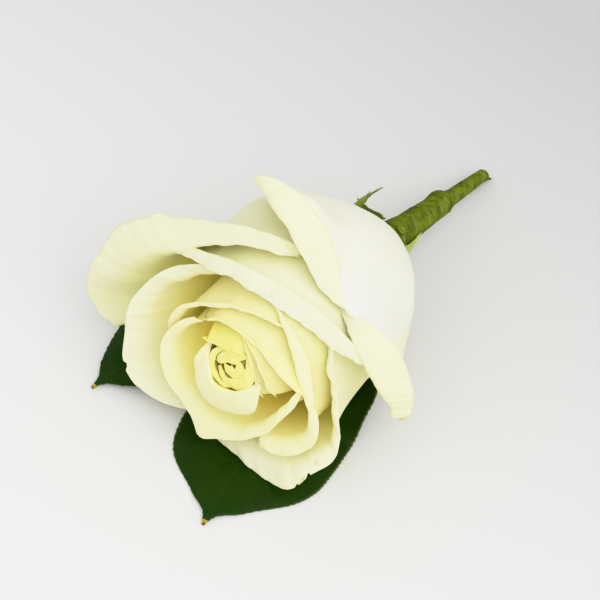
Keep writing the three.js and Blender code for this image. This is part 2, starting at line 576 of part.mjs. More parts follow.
makePetals(bloom);
makeSepals(bloom);
makeHip(stemGroup);
makeStem(stemGroup);
makeWire(stemGroup);
makeTape(stemGroup);
makeLeaves(boutonniere);

// Rest the object on z = 0, centred over the origin.
boutonniere.updateMatrixWorld(true);
const box = new THREE.Box3().setFromObject(boutonniere, true);
const middle = box.getCenter(new THREE.Vector3());
boutonniere.position.set(-middle.x, -middle.y, -box.min.z);
boutonniere.updateMatrixWorld(true);

export default boutonniere;
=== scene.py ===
# The looks of a boutonniere lying on a pale surface: an ivory rose, two leaves and a
# taped stem. Shapes are worked out in millimetres from the base of the rose's petals,
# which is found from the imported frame.
import math
import bpy
import numpy as np
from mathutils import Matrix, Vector


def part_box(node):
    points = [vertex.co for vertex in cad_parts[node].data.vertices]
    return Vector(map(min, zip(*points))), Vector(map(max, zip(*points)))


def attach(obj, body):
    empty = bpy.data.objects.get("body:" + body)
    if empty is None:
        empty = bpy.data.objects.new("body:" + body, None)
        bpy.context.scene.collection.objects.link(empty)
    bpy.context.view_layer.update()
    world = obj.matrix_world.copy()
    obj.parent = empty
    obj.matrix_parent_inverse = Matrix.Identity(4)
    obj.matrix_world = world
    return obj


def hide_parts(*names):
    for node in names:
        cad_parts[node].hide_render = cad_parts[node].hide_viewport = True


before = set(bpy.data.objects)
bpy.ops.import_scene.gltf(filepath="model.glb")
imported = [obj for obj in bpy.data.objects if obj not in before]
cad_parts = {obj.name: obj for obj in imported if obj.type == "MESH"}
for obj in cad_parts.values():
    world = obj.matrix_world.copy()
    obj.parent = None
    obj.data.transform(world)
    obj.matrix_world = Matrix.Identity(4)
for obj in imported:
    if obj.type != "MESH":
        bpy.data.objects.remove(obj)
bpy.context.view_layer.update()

# ---- dimensions (mm)

MM = 0.001
BLOOM_TILT = math.radians(17)  # the rose's axis above the surface
STEM_TILT = math.atan2(20.65, 48.3)  # the stem's axis above the surface
STEM_YAW = math.atan2(0.5, 48.3)
STEM_MIDDLE = 17.1  # distance from the petals' base back to the middle of the stem

HIP_RADIUS = 4.4
HIP_HALF_LENGTH = 8.0
OUTER_WIDTH = 26.2  # radius of the outermost layer's body
LAYER_STEP = 0.9  # how much narrower each layer inward is
FIRST_SEAT = 0.8  # height at which the outermost layer sits on the hip
SEAT_STEP = 0.42
HIP_CLEARANCE = 0.7
BODY_HEIGHT = 42.0  # where a layer is as wide as it gets
BODY_FULLNESS = 2.4  # how fast it widens at first
CLAW_FRACTION = 0.45  # share of its width that a petal has at its base
RISE_POWER = 1.4  # how slowly a petal's rows climb at first
FLARE_POWER = 4  # how late a petal leaves the common body for its own fold
SWELLING_POWER = 6  # how near the fold the swellings still reach
EAR_POWER = 7  # how near the fold a petal's far half is still narrow
FOLD_START = 5 / 7  # share of a petal's rows that lie below its fold
HEART_LEVEL = 8  # the first layer that leans with the heart
HEART_SHIFT = (-4.15, -1.98)  # how far the heart's top leans off the axis, up and sideways
HEART_TOP = 62.5  # height at which that is measured

# Where the outer layers swell or flatten: angle (degrees) and its width, height and its
# width, and the change of radius.
SWELLINGS = [(304, 26, 28, 15, 5.0), (52, 24, 30, 12, -2.2)]
SWOLLEN_LEVELS = 4  # the last layer that has the swellings
ROLL_BEHIND = {"petal_top_right": (350, 15, 39, 6.0, 7.0)}  # one petal's own swelling
EARS = {"petal_right_1": 0.5}  # how much narrower the petal's far half is below its fold

PETAL_COLUMNS = 96
BODY_ROWS = 40
FOLD_ROWS = 26

# ---- helpers


def axes(tilt, yaw=0.0):
    """Unit vectors along an axis that rises by tilt towards -X, up from it, and sideways."""
    along = np.array([-math.cos(tilt) * math.cos(yaw), math.cos(tilt) * math.sin(yaw), math.sin(tilt)])
    side = np.cross(along, [0.0, 0.0, 1.0])
    side = -side / np.linalg.norm(side)
    return along, np.cross(along, side), side


def clamp01(value):
    return np.clip(value, 0.0, 1.0)


def smooth(value):
    """0 below 0, 1 above 1, and a smooth step between."""
    t = clamp01(value)
    return t * t * (3 - 2 * t)


def catmull(rows, places):
    """Catmull-Rom values of a table of rows at places from 0 to 1, one row of values for each place."""
    table = np.array(rows, float)
    table = np.vstack([2 * table[0] - table[1], table, 2 * table[-1] - table[-2]])
    at = clamp01(np.asarray(places, float)) * (len(rows) - 1)
    index = np.minimum(at.astype(int), len(rows) - 2)
    f = (at - index)[:, None]
    a, b, c, d = (table[index + k] for k in range(4))
    linear = (c - a) * f
    square = (2 * a - 5 * b + 4 * c - d) * f**2
    cube = (3 * b - a - 3 * c + d) * f**3
    return 0.5 * (2 * b + linear + square + cube)


def rising(value, start, width):
    """0 up to start, 1 from start + width on, and a smooth step between."""
    return smooth((value - start) / width)


def bell(value, width):
    """1 at 0, falling away smoothly on either side."""
    return np.exp(-((value / width) ** 2))


def waves(x, seed, wavelength, octaves=4):
    """A smooth, seeded, uneven wave of x, mostly between -1 and 1."""
    random = np.random.default_rng(seed)
    total = np.zeros_like(np.asarray(x, float))
    weight = 0.0
    for octave in range(octaves):
        stretch = wavelength * random.uniform(0.8, 1.25) / 1.7**octave
        strength = 0.75**octave
        total = total + strength * np.sin(2 * math.pi * (x / stretch + random.uniform(0, 1)))
        weight += strength
    return total / weight * 1.4


def unit(vectors):
    return vectors / np.maximum(np.linalg.norm(vectors, axis=-1, keepdims=True), 1e-12)


def circle(sides, radius=1.0):
    """Places around a circle, as arc lengths."""
    return np.linspace(0, 2 * math.pi * radius, sides, endpoint=False)


def vectors(*values):
    """A grid of vectors from three grids or numbers."""
    return np.stack(np.broadcast_arrays(*values), axis=-1)


def distances(grid, axis=0):
    """How far each point of a grid is from the first along its line."""
    steps = np.linalg.norm(np.diff(grid, axis=axis), axis=-1)
    return np.insert(np.cumsum(steps, axis=axis), 0, 0.0, axis=axis)


def surface_normals(grid):
    across = np.gradient(grid, axis=0)
    along = np.gradient(grid, axis=1)
    return unit(np.cross(across, along))


def add_object(name, data):
    thing = bpy.data.objects.new(name, data)
    bpy.context.scene.collection.objects.link(thing)
    return thing


def add_piece(node, shape, attributes, material):
    """The fine mesh that stands in for a node: its shape is points (mm) and faces, and its
    attributes are named vectors for its material."""
    points, faces = shape
    mesh = bpy.data.meshes.new(node + "_fine")
    mesh.from_pydata((points * MM).tolist(), [], faces)
    for key, values in attributes.items():
        attribute = mesh.attributes.new(key, "FLOAT_VECTOR", "POINT")
        attribute.data.foreach_set("vector", np.asarray(values, np.float32).ravel())
    mesh.shade_smooth()
    mesh.materials.append(material)
    piece = add_object(node + "_fine", mesh)
    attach(piece, "root")
    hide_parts(node)


def sheet_faces(columns, rows):
    """Quads of a closed sheet whose front and back are grids of columns by rows points."""
    back = columns * rows
    faces = []
    for i in range(columns - 1):
        for j in range(rows - 1):
            a, b = i * rows + j, (i + 1) * rows + j
            faces.append((a, b, b + 1, a + 1))
            faces.append((back + a, back + a + 1, back + b + 1, back + b))
    border = [i * rows for i in range(columns)]
    border += [(columns - 1) * rows + j for j in range(1, rows)]
    border += [i * rows + rows - 1 for i in range(columns - 2, -1, -1)]
    border += list(range(rows - 2, 0, -1))
    for k, a in enumerate(border):
        b = border[(k + 1) % len(border)]
        faces.append((b, a, back + a, back + b))
    return faces


def sheet_mesh(grid, thickness):
    """Points and faces of a closed sheet around a grid of points; thickness is one number or one
    for each point, and the front is the side of the normals."""
    normals = surface_normals(grid)
    half = 0.5 * np.broadcast_to(np.asarray(thickness, float), grid.shape[:2])[..., None]
    front, back = grid + normals * half, grid - normals * half
    return np.concatenate([front.reshape(-1, 3), back.reshape(-1, 3)]), sheet_faces(*grid.shape[:2])


def doubled(front, back=None):
    """The vectors of a sheet's front and then of its back, one row for each point."""
    sides = (front, front if back is None else back)
    return np.concatenate([side.reshape(-1, 3) for side in sides])


def tube_mesh(grid, ends, inward=False):
    """Points and faces of a closed tube through a grid of rings, with a point at each end; inward
    when its rings turn the other way."""
    rows, sides = grid.shape[:2]
    first, last, end = rows * sides, rows * sides + 1, (rows - 1) * sides
    faces = []
    for start in range(0, end, sides):
        for j in range(sides):
            k = (j + 1) % sides
            a, b, c, d = start + j, start + k, start + sides + k, start + sides + j
            faces.append((a, d, c, b) if inward else (a, b, c, d))
    for j in range(sides):
        k = (j + 1) % sides
        a, b = (j, k) if inward else (k, j)
        faces.append((a, b, first))
        faces.append((end + b, end + a, last))
    return np.concatenate([grid.reshape(-1, 3), ends]), faces


def round_tube(path, radii, up, sides):
    """Points and faces of a closed round tube along a path."""
    heading = unit(np.gradient(path, axis=0))
    side = unit(np.cross(heading, up))
    top = np.cross(side, heading)
    turn = circle(sides)
    ring = np.cos(turn)[None, :, None] * side[:, None, :] + np.sin(turn)[None, :, None] * top[:, None, :]
    grid = path[:, None, :] + ring * np.asarray(radii)[:, None, None]
    return tube_mesh(grid, [path[0], path[-1]])


def joined(parts):
    """One shape from several."""
    points, faces, start = [], [], 0
    for part_points, part_faces in parts:
        points.append(part_points)
        faces += [tuple(start + index for index in face) for face in part_faces]
        start += len(part_points)
    return np.concatenate(points), faces


# ---- the frame

AXIS, UPWARD, SIDEWAYS = axes(BLOOM_TILT)
STEM_AXIS, STEM_UPWARD, STEM_SIDEWAYS = axes(STEM_TILT, STEM_YAW)
stem_low, stem_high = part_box("rose_stem")
BLOOM_BASE = np.array((stem_low + stem_high) / 2) / MM + STEM_AXIS * STEM_MIDDLE


def from_bloom(upward, sideways, height):
    """A point by its place up from the bloom's axis, sideways from it, and along it."""
    across = np.asarray(upward)[..., None] * UPWARD + np.asarray(sideways)[..., None] * SIDEWAYS
    return BLOOM_BASE + np.asarray(height)[..., None] * AXIS + across


def from_stem(angle, radius, distance):
    """A point by its angle around the stem, radius and distance behind the petals' base."""
    r, a = np.asarray(radius)[..., None], np.asarray(angle)[..., None]
    along = -np.asarray(distance)[..., None] * STEM_AXIS
    return BLOOM_BASE + along + r * (np.cos(a) * STEM_UPWARD + np.sin(a) * STEM_SIDEWAYS)


# ---- materials


class Nodes:
    """A short way to write a node tree."""

    def __init__(self, name):
        self.material = bpy.data.materials.new(name)
        self.material.use_nodes = True
        self.tree = self.material.node_tree
        self.shader = self.tree.nodes["Principled BSDF"]

    def add(self, kind, settings=None, **inputs):
        node = self.tree.nodes.new(kind)
        for key, value in (settings or {}).items():
            setattr(node, key, value)
        for key, value in inputs.items():
            self.set(node.inputs[key.replace("_", " ")], value)
        return node

    def set(self, socket, value):
        if isinstance(value, bpy.types.NodeSocket):
            self.tree.links.new(value, socket)
        else:
            socket.default_value = value

    def finish(self, **inputs):
        for key, value in inputs.items():
            self.set(self.shader.inputs[key.replace("_", " ")], value)
        return self.material

    def attribute(self, name):
        """A named attribute of the mesh, as a vector."""
        return self.add("ShaderNodeAttribute", {"attribute_name": name}).outputs["Vector"]

    def split(self, vector):
        """The three numbers of a vector."""
        return self.add("ShaderNodeSeparateXYZ", Vector=vector).outputs

    def math(self, operation, a, b=0.0, clamp=False):
        node = self.add("ShaderNodeMath", {"operation": operation, "use_clamp": clamp})
        self.set(node.inputs[0], a)
        self.set(node.inputs[1], b)
        return node.outputs[0]

    def ramp(self, value, low, high, shape="SMOOTHSTEP"):
        """0 where value is low or beyond, 1 where it is high or beyond."""
        node = self.add("ShaderNodeMapRange", {"interpolation_type": shape})
        for key, number in (("Value", value), ("From Min", low), ("From Max", high)):
            self.set(node.inputs[key], number)
        return node.outputs["Result"]

    def linear(self, value, low, high):
        return self.ramp(value, low, high, "LINEAR")

    def stretch(self, vector, scale):
        node = self.add("ShaderNodeMapping", Vector=vector)
        node.inputs["Scale"].default_value = scale
        return node.outputs["Vector"]

    def noise(self, vector, detail=3.0, roughness=0.5, scale=1.0):
        settings = {"Vector": vector, "Scale": scale, "Detail": detail, "Roughness": roughness}
        return self.add("ShaderNodeTexNoise", **settings).outputs["Fac"]

    def grains(self, vector, across, along, detail=3.0, roughness=0.5):
        """Noise on the sheet itself, so many grains a millimetre across it and along it."""
        return self.noise(self.stretch(vector, (across, along, 0.0)), detail, roughness)

    def times(self, a, b):
        return self.math("MULTIPLY", a, b)

    def mix(self, factor, a, b):
        """Colour a where factor is 0, colour b where it is 1."""
        node = self.add("ShaderNodeMix", {"data_type": "RGBA"})
        for socket, value in ((node.inputs[0], factor), (node.inputs[6], a), (node.inputs[7], b)):
            self.set(socket, (*value, 1.0) if isinstance(value, tuple) and len(value) == 3 else value)
        return node.outputs[2]

    def bump(self, height, distance, strength=1.0, normal=None):
        node = self.add("ShaderNodeBump", Height=height, Distance=distance, Strength=strength)
        if normal is not None:
            self.set(node.inputs["Normal"], normal)
        return node.outputs["Normal"]


# The whitest petal colour, reached where the tint falls below 0: partly the outer backs' paler tone, partly
# painted light.
PETAL_WHITE_AND_PAINTED_LIGHT = (0.965, 0.945, 0.745)
PETAL_VEIN = (0.86, 0.78, 0.42)
# Claw green; on the outer petals' fronts it is partly a greyer tone, partly painted shade.
PETAL_CLAW_AND_PAINTED_SHADE = (0.66, 0.70, 0.30)
BRUISE = (0.34, 0.20, 0.07)
PETAL_SHADER = {
    "Subsurface Weight": 0.35, "Subsurface Radius": (1.0, 0.85, 0.42), "Subsurface Scale": 0.0012,
    "IOR": 1.4, "Specular IOR Level": 0.35, "Sheen Weight": 0.04, "Sheen Roughness": 0.5,
}


def petal_material(name, light, deep):
    """Petal: 'grain' is millimetres across and up; 'tint' is depth of yellow (0 light, 1 deep, whiter below
    0, partly painted light on the outermost backs), green (partly painted shade on the outer fronts), and
    brown."""
    n = Nodes(name)
    grain = n.attribute("grain")
    yellow, green, brown = n.split(n.attribute("tint"))
    veins = n.grains(grain, 1.5, 0.09, 4.0, 0.6)
    blotch = n.grains(grain, 0.09, 0.06, 2.0)
    cells = n.grains(grain, 6.0, 3.0, 2.0)
    depth = n.math("ADD", yellow, n.times(n.math("SUBTRACT", blotch, 0.5), 0.35))
    colour = n.mix(n.linear(depth, 0.0, 1.0), light, deep)
    # Whiter below 0: on the outermost petals' backs partly their paler tone, partly painted light.
    colour = n.mix(n.linear(depth, 0.0, -0.4), colour, PETAL_WHITE_AND_PAINTED_LIGHT)
    colour = n.mix(n.times(n.ramp(veins, 0.52, 0.75), 0.10), colour, PETAL_VEIN)
    # Green of the claws, and on the outer petals' fronts a grey-green that is partly painted shade.
    colour = n.mix(n.times(green, 0.8), colour, PETAL_CLAW_AND_PAINTED_SHADE)
    spots = n.math("MULTIPLY", brown, n.ramp(cells, 0.30, 0.55), clamp=True)
    colour = n.mix(spots, colour, BRUISE)
    relief = n.bump(veins, 0.00016, 0.22)
    relief = n.bump(cells, 0.00004, 0.25, relief)
    rough = n.math("ADD", 0.46, n.times(cells, 0.16))
    for key, value in PETAL_SHADER.items():
        n.shader.inputs[key].default_value = value
    return n.finish(Base_Color=colour, Roughness=rough, Normal=relief)


LEAF_GREENS = (0.007, 0.026, 0.0003), (0.017, 0.052, 0.0007)
LEAF_VEIN = (0.042, 0.105, 0.007)
LEAF_EDGE = (0.10, 0.14, 0.03)
LEAF_TIP_YELLOW, LEAF_TIP_BROWN = (0.42, 0.30, 0.05), (0.20, 0.09, 0.02)


def leaf_material():
    """Leaf: 'grain' is millimetres across from the midrib, millimetres along, and share of the
    half width; 'tint' is veins and brown tip."""
    n = Nodes("leaf")
    grain = n.attribute("grain")
    share = n.split(grain)[2]
    vein, tip = n.split(n.attribute("tint"))[:2]
    patches = n.grains(grain, 0.14, 0.10)
    pores = n.grains(grain, 3.0, 3.0)
    green = n.mix(patches, *LEAF_GREENS)
    green = n.mix(n.times(vein, 0.20), green, LEAF_VEIN)
    green = n.mix(n.times(n.ramp(share, 0.965, 1.0), 0.6), green, LEAF_EDGE)
    scorched = n.math("ADD", tip, n.times(n.math("SUBTRACT", pores, 0.5), 0.5))
    green = n.mix(n.ramp(scorched, 0.35, 0.75), green, LEAF_TIP_YELLOW)
    green = n.mix(n.ramp(scorched, 0.80, 1.05), green, LEAF_TIP_BROWN)
    rough = n.math("ADD", 0.30, n.times(patches, 0.16))
    n.shader.inputs["Specular IOR Level"].default_value = 0.09
    return n.finish(Base_Color=green, Roughness=rough, Normal=n.bump(pores, 0.00005, 0.35))


PALE_GREEN = (0.49, 0.55, 0.15)


def green_material(name, dark, light, roughness, scale, relief_depth):
    """Sepal, hip or stem: 'grain' is millimetres across, millimetres along, and paleness."""
    n = Nodes(name)
    grain = n.attribute("grain")
    pale = n.split(grain)[2]
    fibres = n.grains(grain, scale, scale * 0.15, 4.0, 0.6)
    patches = n.grains(grain, scale * 0.3, scale * 0.25)
    colour = n.mix(n.math("ADD", n.times(fibres, 0.6), n.times(patches, 0.4)), dark, light)
    colour = n.mix(pale, colour, PALE_GREEN)
    rough = n.math("ADD", roughness, n.times(patches, 0.15))
    n.shader.inputs["Specular IOR Level"].default_value = 0.25
    return n.finish(Base_Color=colour, Roughness=rough, Normal=n.bump(fibres, relief_depth, 0.5))


TAPE_GREENS = (0.060, 0.082, 0.0004), (0.150, 0.180, 0.0012)
TAPE_CREPE, TAPE_SPECK = (0.165, 0.200, 0.012), (0.24, 0.29, 0.04)
# Next line: painted sheen in patches strongest on one side of the tape, then painted shade along winding
# edges and the seam.
TAPE_PAINTED_SHEEN, TAPE_PAINTED_SHADE = (0.200, 0.265, 0.050), (0.045, 0.075, 0.008)


def tape_material():
    """Floral tape: 'grain' is millimetres around and along; 'tint' is painted sheen, in patches strongest
    on one side, and painted shade along the edges of the windings and the seam."""
    n = Nodes("tape")
    grain = n.attribute("grain")
    painted_sheen, fold = n.split(n.attribute("tint"))[:2]
    crepe = n.grains(grain, 0.8, 4.5, 4.0, 0.65)
    patches = n.grains(grain, 0.35, 0.22, 4.0, 0.6)
    specks = n.grains(grain, 2.6, 2.6, 3.0, 0.6)
    colour = n.mix(n.ramp(patches, 0.38, 0.62), *TAPE_GREENS)
    colour = n.mix(n.times(n.ramp(crepe, 0.45, 0.75), 0.45), colour, TAPE_CREPE)
    colour = n.mix(n.times(n.ramp(specks, 0.52, 0.72), 0.4), colour, TAPE_SPECK)
    # Painted sheen: lighter patches, strongest on one side of the tape.
    colour = n.mix(n.times(painted_sheen, 0.7), colour, TAPE_PAINTED_SHEEN)
    # Painted shade along the edges of the windings and along the seam.
    colour = n.mix(fold, colour, TAPE_PAINTED_SHADE)
    relief = n.bump(crepe, 0.0003, 0.5)
    relief = n.bump(patches, 0.0009, 0.35, relief)
    rough = n.math("ADD", 0.62, n.times(specks, 0.25))
    n.shader.inputs["Specular IOR Level"].default_value = 0.06
    return n.finish(Base_Color=colour, Roughness=rough, Normal=relief)


def wire_material():
    n = Nodes("wire")
    place = n.add("ShaderNodeTexCoord").outputs["Object"]
    streaks = n.noise(place, scale=1800.0)
    colour = n.mix(streaks, (0.035, 0.10, 0.04), (0.07, 0.17, 0.07))
    rough = n.math("ADD", 0.34, n.times(streaks, 0.2))
    n.shader.inputs["Metallic"].default_value = 0.6
    return n.finish(Base_Color=colour, Roughness=rough, Normal=n.bump(streaks, 0.00002, 0.4))


# The floor's tones from near to far right are a painted falloff of the light.
FLOOR_NEAR, FLOOR_MIDDLE, FLOOR_FAR = (0.86, 0.86, 0.845), (0.700, 0.699, 0.689), (0.480, 0.480, 0.472)
FLOOR_FADE = 0.13  # metres over which each of the floor's tones fades into the next
FLOOR_SLANT = 0.165  # how far the fading turns from +X towards -Y


def floor_material():
    """A pale surface painted darker towards the far right: a painted falloff of the light."""
    n = Nodes("floor")
    place = n.add("ShaderNodeTexCoord").outputs["Object"]
    right, back = n.split(place)[:2]
    cloud = n.noise(place, 2.0, scale=9.0)
    away = n.math("SUBTRACT", right, n.times(back, FLOOR_SLANT))
    away = n.math("ADD", away, n.times(cloud, 0.01))
    near = n.mix(n.linear(away, -FLOOR_FADE, 0.0), FLOOR_NEAR, FLOOR_MIDDLE)
    colour = n.mix(n.linear(away, 0.0, FLOOR_FADE), near, FLOOR_FAR)
    return n.finish(Base_Color=colour, Roughness=0.75)


# ---- petals

# Each petal from the heart outward: layer counted inward, then places along the upper
# edge: angle around the bloom (degrees), radius and height of the fold, and how far the
# free edge reaches outward and upward from the fold.
PETALS = {
    "petal_heart_1": (15, [
        (5, 0.9, 61.9, 1.3, 0.2), (40, 0.8, 62.1, 1.9, 0.2), (80, 0.6, 62.2, 2.3, 0.2),
        (150, 0.6, 62.2, 2.6, 0.2), (225, 0.9, 62.2, 2.5, 0.2), (262, 1.4, 62.1, 1.9, 0.2)]),
    "petal_heart_2": (14, [
        (246, 4.4, 61.5, 1.0, 0.3), (266, 3.4, 62.2, 2.0, 0.2), (300, 1.9, 62.3, 3.0, 0.1),
        (340, 1.6, 62.3, 3.1, 0.1), (372, 2.5, 62.0, 2.2, 0.2), (392, 4.4, 61.1, 0.9, 0.3)]),
    "petal_heart_3": (13, [
        (16, 4.9, 61.0, 0.8, 0.3), (42, 3.7, 61.8, 1.8, 0.2), (75, 3.1, 62.1, 2.4, 0.2),
        (120, 3.0, 62.4, 2.8, 0.1), (165, 3.3, 62.5, 2.9, 0.1), (195, 4.1, 62.4, 2.0, 0.2),
        (220, 4.5, 62.2, 1.3, 0.2), (242, 5.0, 61.8, 0.5, 0.3)]),
    "petal_heart_4": (12, [
        (180, 6.0, 61.9, 0.6, 0.3), (206, 6.4, 62.6, 0.9, 0.3), (234, 6.1, 62.7, 1.2, 0.4),
        (262, 5.8, 62.6, 1.5, 0.4), (287, 5.3, 62.3, 1.6, 0.4), (314, 4.6, 61.4, 0.8, 0.4)]),
    "petal_heart_5": (11, [
        (282, 9.8, 60.4, 0.5, 0.5), (291, 9.4, 62.2, 1.1, 0.8), (304, 7.3, 62.8, 0.8, 0.7),
        (331, 5.6, 63.2, 0.7, 0.8), (350, 5.6, 63.2, 0.7, 0.8), (370, 5.6, 62.8, 0.6, 0.7),
        (392, 5.0, 61, 0.4, 0.5)]),
    "petal_inner_1": (10, [
        (346, 8.4, 59.4, 0.5, 0.5), (366, 7.6, 61.6, 0.8, 0.7), (385, 6.3, 62.2, 0.8, 0.7),
        (405, 5.2, 62.1, 0.9, 0.6), (428, 4.7, 61.9, 0.9, 0.6), (452, 4.9, 61.6, 0.9, 0.5),
        (468, 5.7, 61.4, 0.9, 0.5), (481, 7.4, 61, 1, 0.5), (490, 9.2, 59.8, 0.8, 0.4)]),
    "petal_inner_2": (9, [
        (338, 9.4, 59.2, 0.6, 0.5), (360, 8.7, 61, 0.8, 0.6), (380, 7.7, 61.6, 0.9, 0.7),
        (406, 6.7, 61.6, 1, 0.6), (425, 6.5, 61.4, 1, 0.6), (440, 6.9, 61.2, 1, 0.6),
        (452, 7.7, 61, 1, 0.5), (462, 9.0, 60.8, 1, 0.5), (472, 11.2, 59.4, 0.8, 0.4)]),
    "petal_inner_3": (8, [
        (108, 5.8, 61, 1.4, 0), (122, 6.0, 62.2, 2.6, -0.6), (136, 6.0, 62.6, 4.2, -1.3),
        (148, 6.1, 62.8, 6.6, -1.8), (160, 6.3, 62.9, 8, -2), (176, 6.7, 63, 8.4, -1.8),
        (190, 7.2, 63, 9.4, -1.7), (204, 7.8, 63, 9.2, -1.5), (216, 8.0, 63, 7.6, -1.1),
        (230, 7.6, 62.9, 5.9, -0.5), (245, 7.4, 62.8, 4.9, -0.1), (258, 7.4, 62.6, 3.5, 0.3),
        (270, 7.7, 62.2, 2.2, 0.5), (284, 8.2, 61, 0.9, 0.5)]),
    "petal_inner_4": (8, [
        (284, 14.4, 56.8, 0.6, 0.5), (298, 12.4, 59.5, 0.9, 0.6), (318, 11.6, 60.4, 1.1, 0.7),
        (338, 10.2, 60.8, 1.2, 0.7), (362, 9.0, 60.9, 1.2, 0.7), (381, 8.6, 60.9, 1.2, 0.7),
        (401, 9.0, 60.8, 1.2, 0.6), (423, 10, 60.6, 1.3, 0.6), (438, 12.2, 60.2, 1.4, 0.6),
        (450, 15.2, 59, 1.4, 0.5), (457, 17, 57, 1.2, 0.4)]),
    "petal_middle_1": (7, [
        (103, 13.8, 57.6, 1.2, 0.8), (118, 14.4, 58.4, 1.8, 1), (136, 15.4, 58.4, 2.2, 1.2),
        (151, 17.4, 58, 2.8, 1.4), (165, 20.6, 57, 3.4, 2.2), (180, 24.6, 57, 4.2, 2.6),
        (194, 26.8, 57, 5.4, 3), (210, 26.4, 57, 4.2, 2.8), (224, 26.4, 57, 4.4, 2.8),
        (240, 24.4, 57, 4.4, 2.4), (256, 19.6, 58, 3.6, 1.6), (272, 14.8, 58.4, 2.4, 1)]),
    "petal_middle_2": (6, [
        (246, 24.2, 55.6, 2.4, 1.4), (256, 22.6, 57, 2.6, 1.5), (270, 20.2, 57.8, 2.2, 1.4),
        (284, 17.0, 58.4, 1.8, 1.2), (302, 13.6, 58.8, 1.6, 1), (330, 11.4, 59, 1.4, 0.9),
        (358, 11.0, 58.6, 1.1, 0.6), (382, 11.2, 57.4, 0.8, 0.4), (404, 12.0, 55.4, 0.6, 0.4),
        (420, 12.8, 53, 0.5, 0.4)]),
    "petal_middle_3": (5, [
        (8, 13.8, 56.4, 1.2, 0.3), (24, 12.6, 57.4, 1.2, 0), (40, 11.8, 57.8, 2.0, -0.4),
        (56, 11.4, 58, 2.6, -0.7), (74, 11.6, 58, 3.1, -0.8), (92, 12.8, 57.8, 3.2, -0.6),
        (108, 15.6, 57.4, 3.2, -0.2), (121, 20.0, 56.6, 3.8, 0.4), (132, 23.0, 55.8, 4.2, 1.0),
        (144, 24.4, 55.2, 4.6, 1.6), (156, 25.2, 55.0, 4.8, 2), (168, 24.6, 55.2, 4.4, 2)]),
    "petal_left_1": (4, [
        (206, 29, 52, 5, 4.4), (218, 34.6, 53, 6.5, 4.8), (230, 37.6, 53.6, 7.2, 4.4),
        (243, 35, 54, 5.8, 4), (256, 32, 53.8, 6, 3.6), (266, 29.6, 53.4, 5, 3),
        (280, 24.8, 52.6, 5.4, 3), (292, 21.8, 52, 4.4, 2.6), (304, 19, 51, 3.2, 2)]),
    "petal_bottom_1": (4, [
        (56, 17.0, 50.4, 1.4, 1), (68, 17.4, 52, 1.6, 1), (82, 17.2, 52.4, 1.6, 1),
        (96, 18.8, 52.4, 2.2, 0.9), (112, 22.0, 52, 2.6, 1.0), (124, 26.0, 51.6, 3.8, 1.4),
        (133, 29.0, 51.6, 4.6, 2.0), (144, 29.4, 52, 6.0, 4.2), (154, 31.2, 52.4, 7.6, 5.4),
        (165, 31.8, 52.4, 6.8, 4.6), (179, 31, 52, 6, 3.6), (192, 32, 51.4, 5.4, 3)]),
    "petal_band_1": (3, [
        (276, 36.4, 48.4, 1.2, 0.2), (284, 33.0, 51.2, 2.6, -0.4), (296, 27.2, 54.4, 3.2, -1.2),
        (311, 21.8, 56.4, 3.2, -1.9), (328, 18.8, 57.2, 3.1, -2.4), (345, 16.6, 57.4, 3.2, -2.6),
        (362, 15.4, 57, 3.4, -2.8), (382, 15.2, 56, 3.6, -2.9), (404, 16.4, 54.4, 3.8, -2.8),
        (424, 19.2, 52.4, 4.2, -2.2), (436, 23.2, 49.8, 4, -1.4)]),
    "petal_outer_left": (2, [
        (238, 44, 42, 10.4, 5), (247, 45, 43.6, 12.8, 5.4), (257, 39.4, 46.6, 15.4, 5.4),
        (267, 36, 49, 14.4, 4), (278, 33, 51, 14.4, 1.4), (285, 31, 52, 13.2, -0.4),
        (294, 28.8, 52.8, 9.6, -2.4), (312, 26.4, 53, 5.2, -3), (330, 25.2, 52.6, 3.6, -2.8),
        (348, 24, 50.6, 2.8, -2.2), (362, 23, 47.6, 2, -1.4)]),
    "petal_right_1": (2, [
        (38, 19.4, 43.4, 0.6, 0.4), (47, 20.2, 46.8, 1.6, -0.3), (58, 22.0, 48.4, 5.2, -2.4),
        (70, 24.0, 49.0, 7.8, -4), (82, 26.0, 48.2, 8.0, -4.6), (93, 28.8, 46.4, 7.0, -4.2),
        (101, 31.6, 44.6, 5.2, -2.8), (107, 33.0, 43.2, 2.8, -0.8)]),
    "petal_under_1": (1, [
        (144, 25.0, 23, 1.2, 0.8), (154, 26.2, 29, 1.8, 1.2), (166, 27.6, 34, 2.6, 1.6),
        (180, 28.2, 36, 2.8, 1.6), (194, 27.8, 34.4, 2.4, 1.4), (206, 26.6, 29, 1.6, 0.8)]),
    "petal_under_2": (0, [
        (192, 26.6, 32, 2, 1.2), (208, 28.8, 37, 3, 1.4), (226, 29.6, 36, 3, 1.2),
        (244, 28.4, 31, 2.4, 1), (262, 27, 27, 2, 0.8), (280, 25.8, 23, 1.4, 0.6)]),
    "petal_top_right": (1, [
        (322, 30, 32, 2, 1), (333, 35.4, 42.2, 3, 1), (343, 33.4, 46.2, 6.0, -2),
        (354, 29.6, 47.8, 7.0, -4.4), (366, 25.4, 48.4, 6.8, -5), (381, 21.8, 48.6, 5.0, -4.2),
        (394, 21.2, 48.2, 2.2, -1.4), (405, 22.2, 47.6, 0.8, -0.2), (415, 23.4, 46.8, 0.5, 0.2),
        (425, 24.4, 45.0, 0.5, 0.4), (436, 25.0, 41.5, 0.5, 0.4), (446, 25.2, 37, 0.7, 0.4),
        (454, 25.4, 31, 0.9, 0.4)]),
}


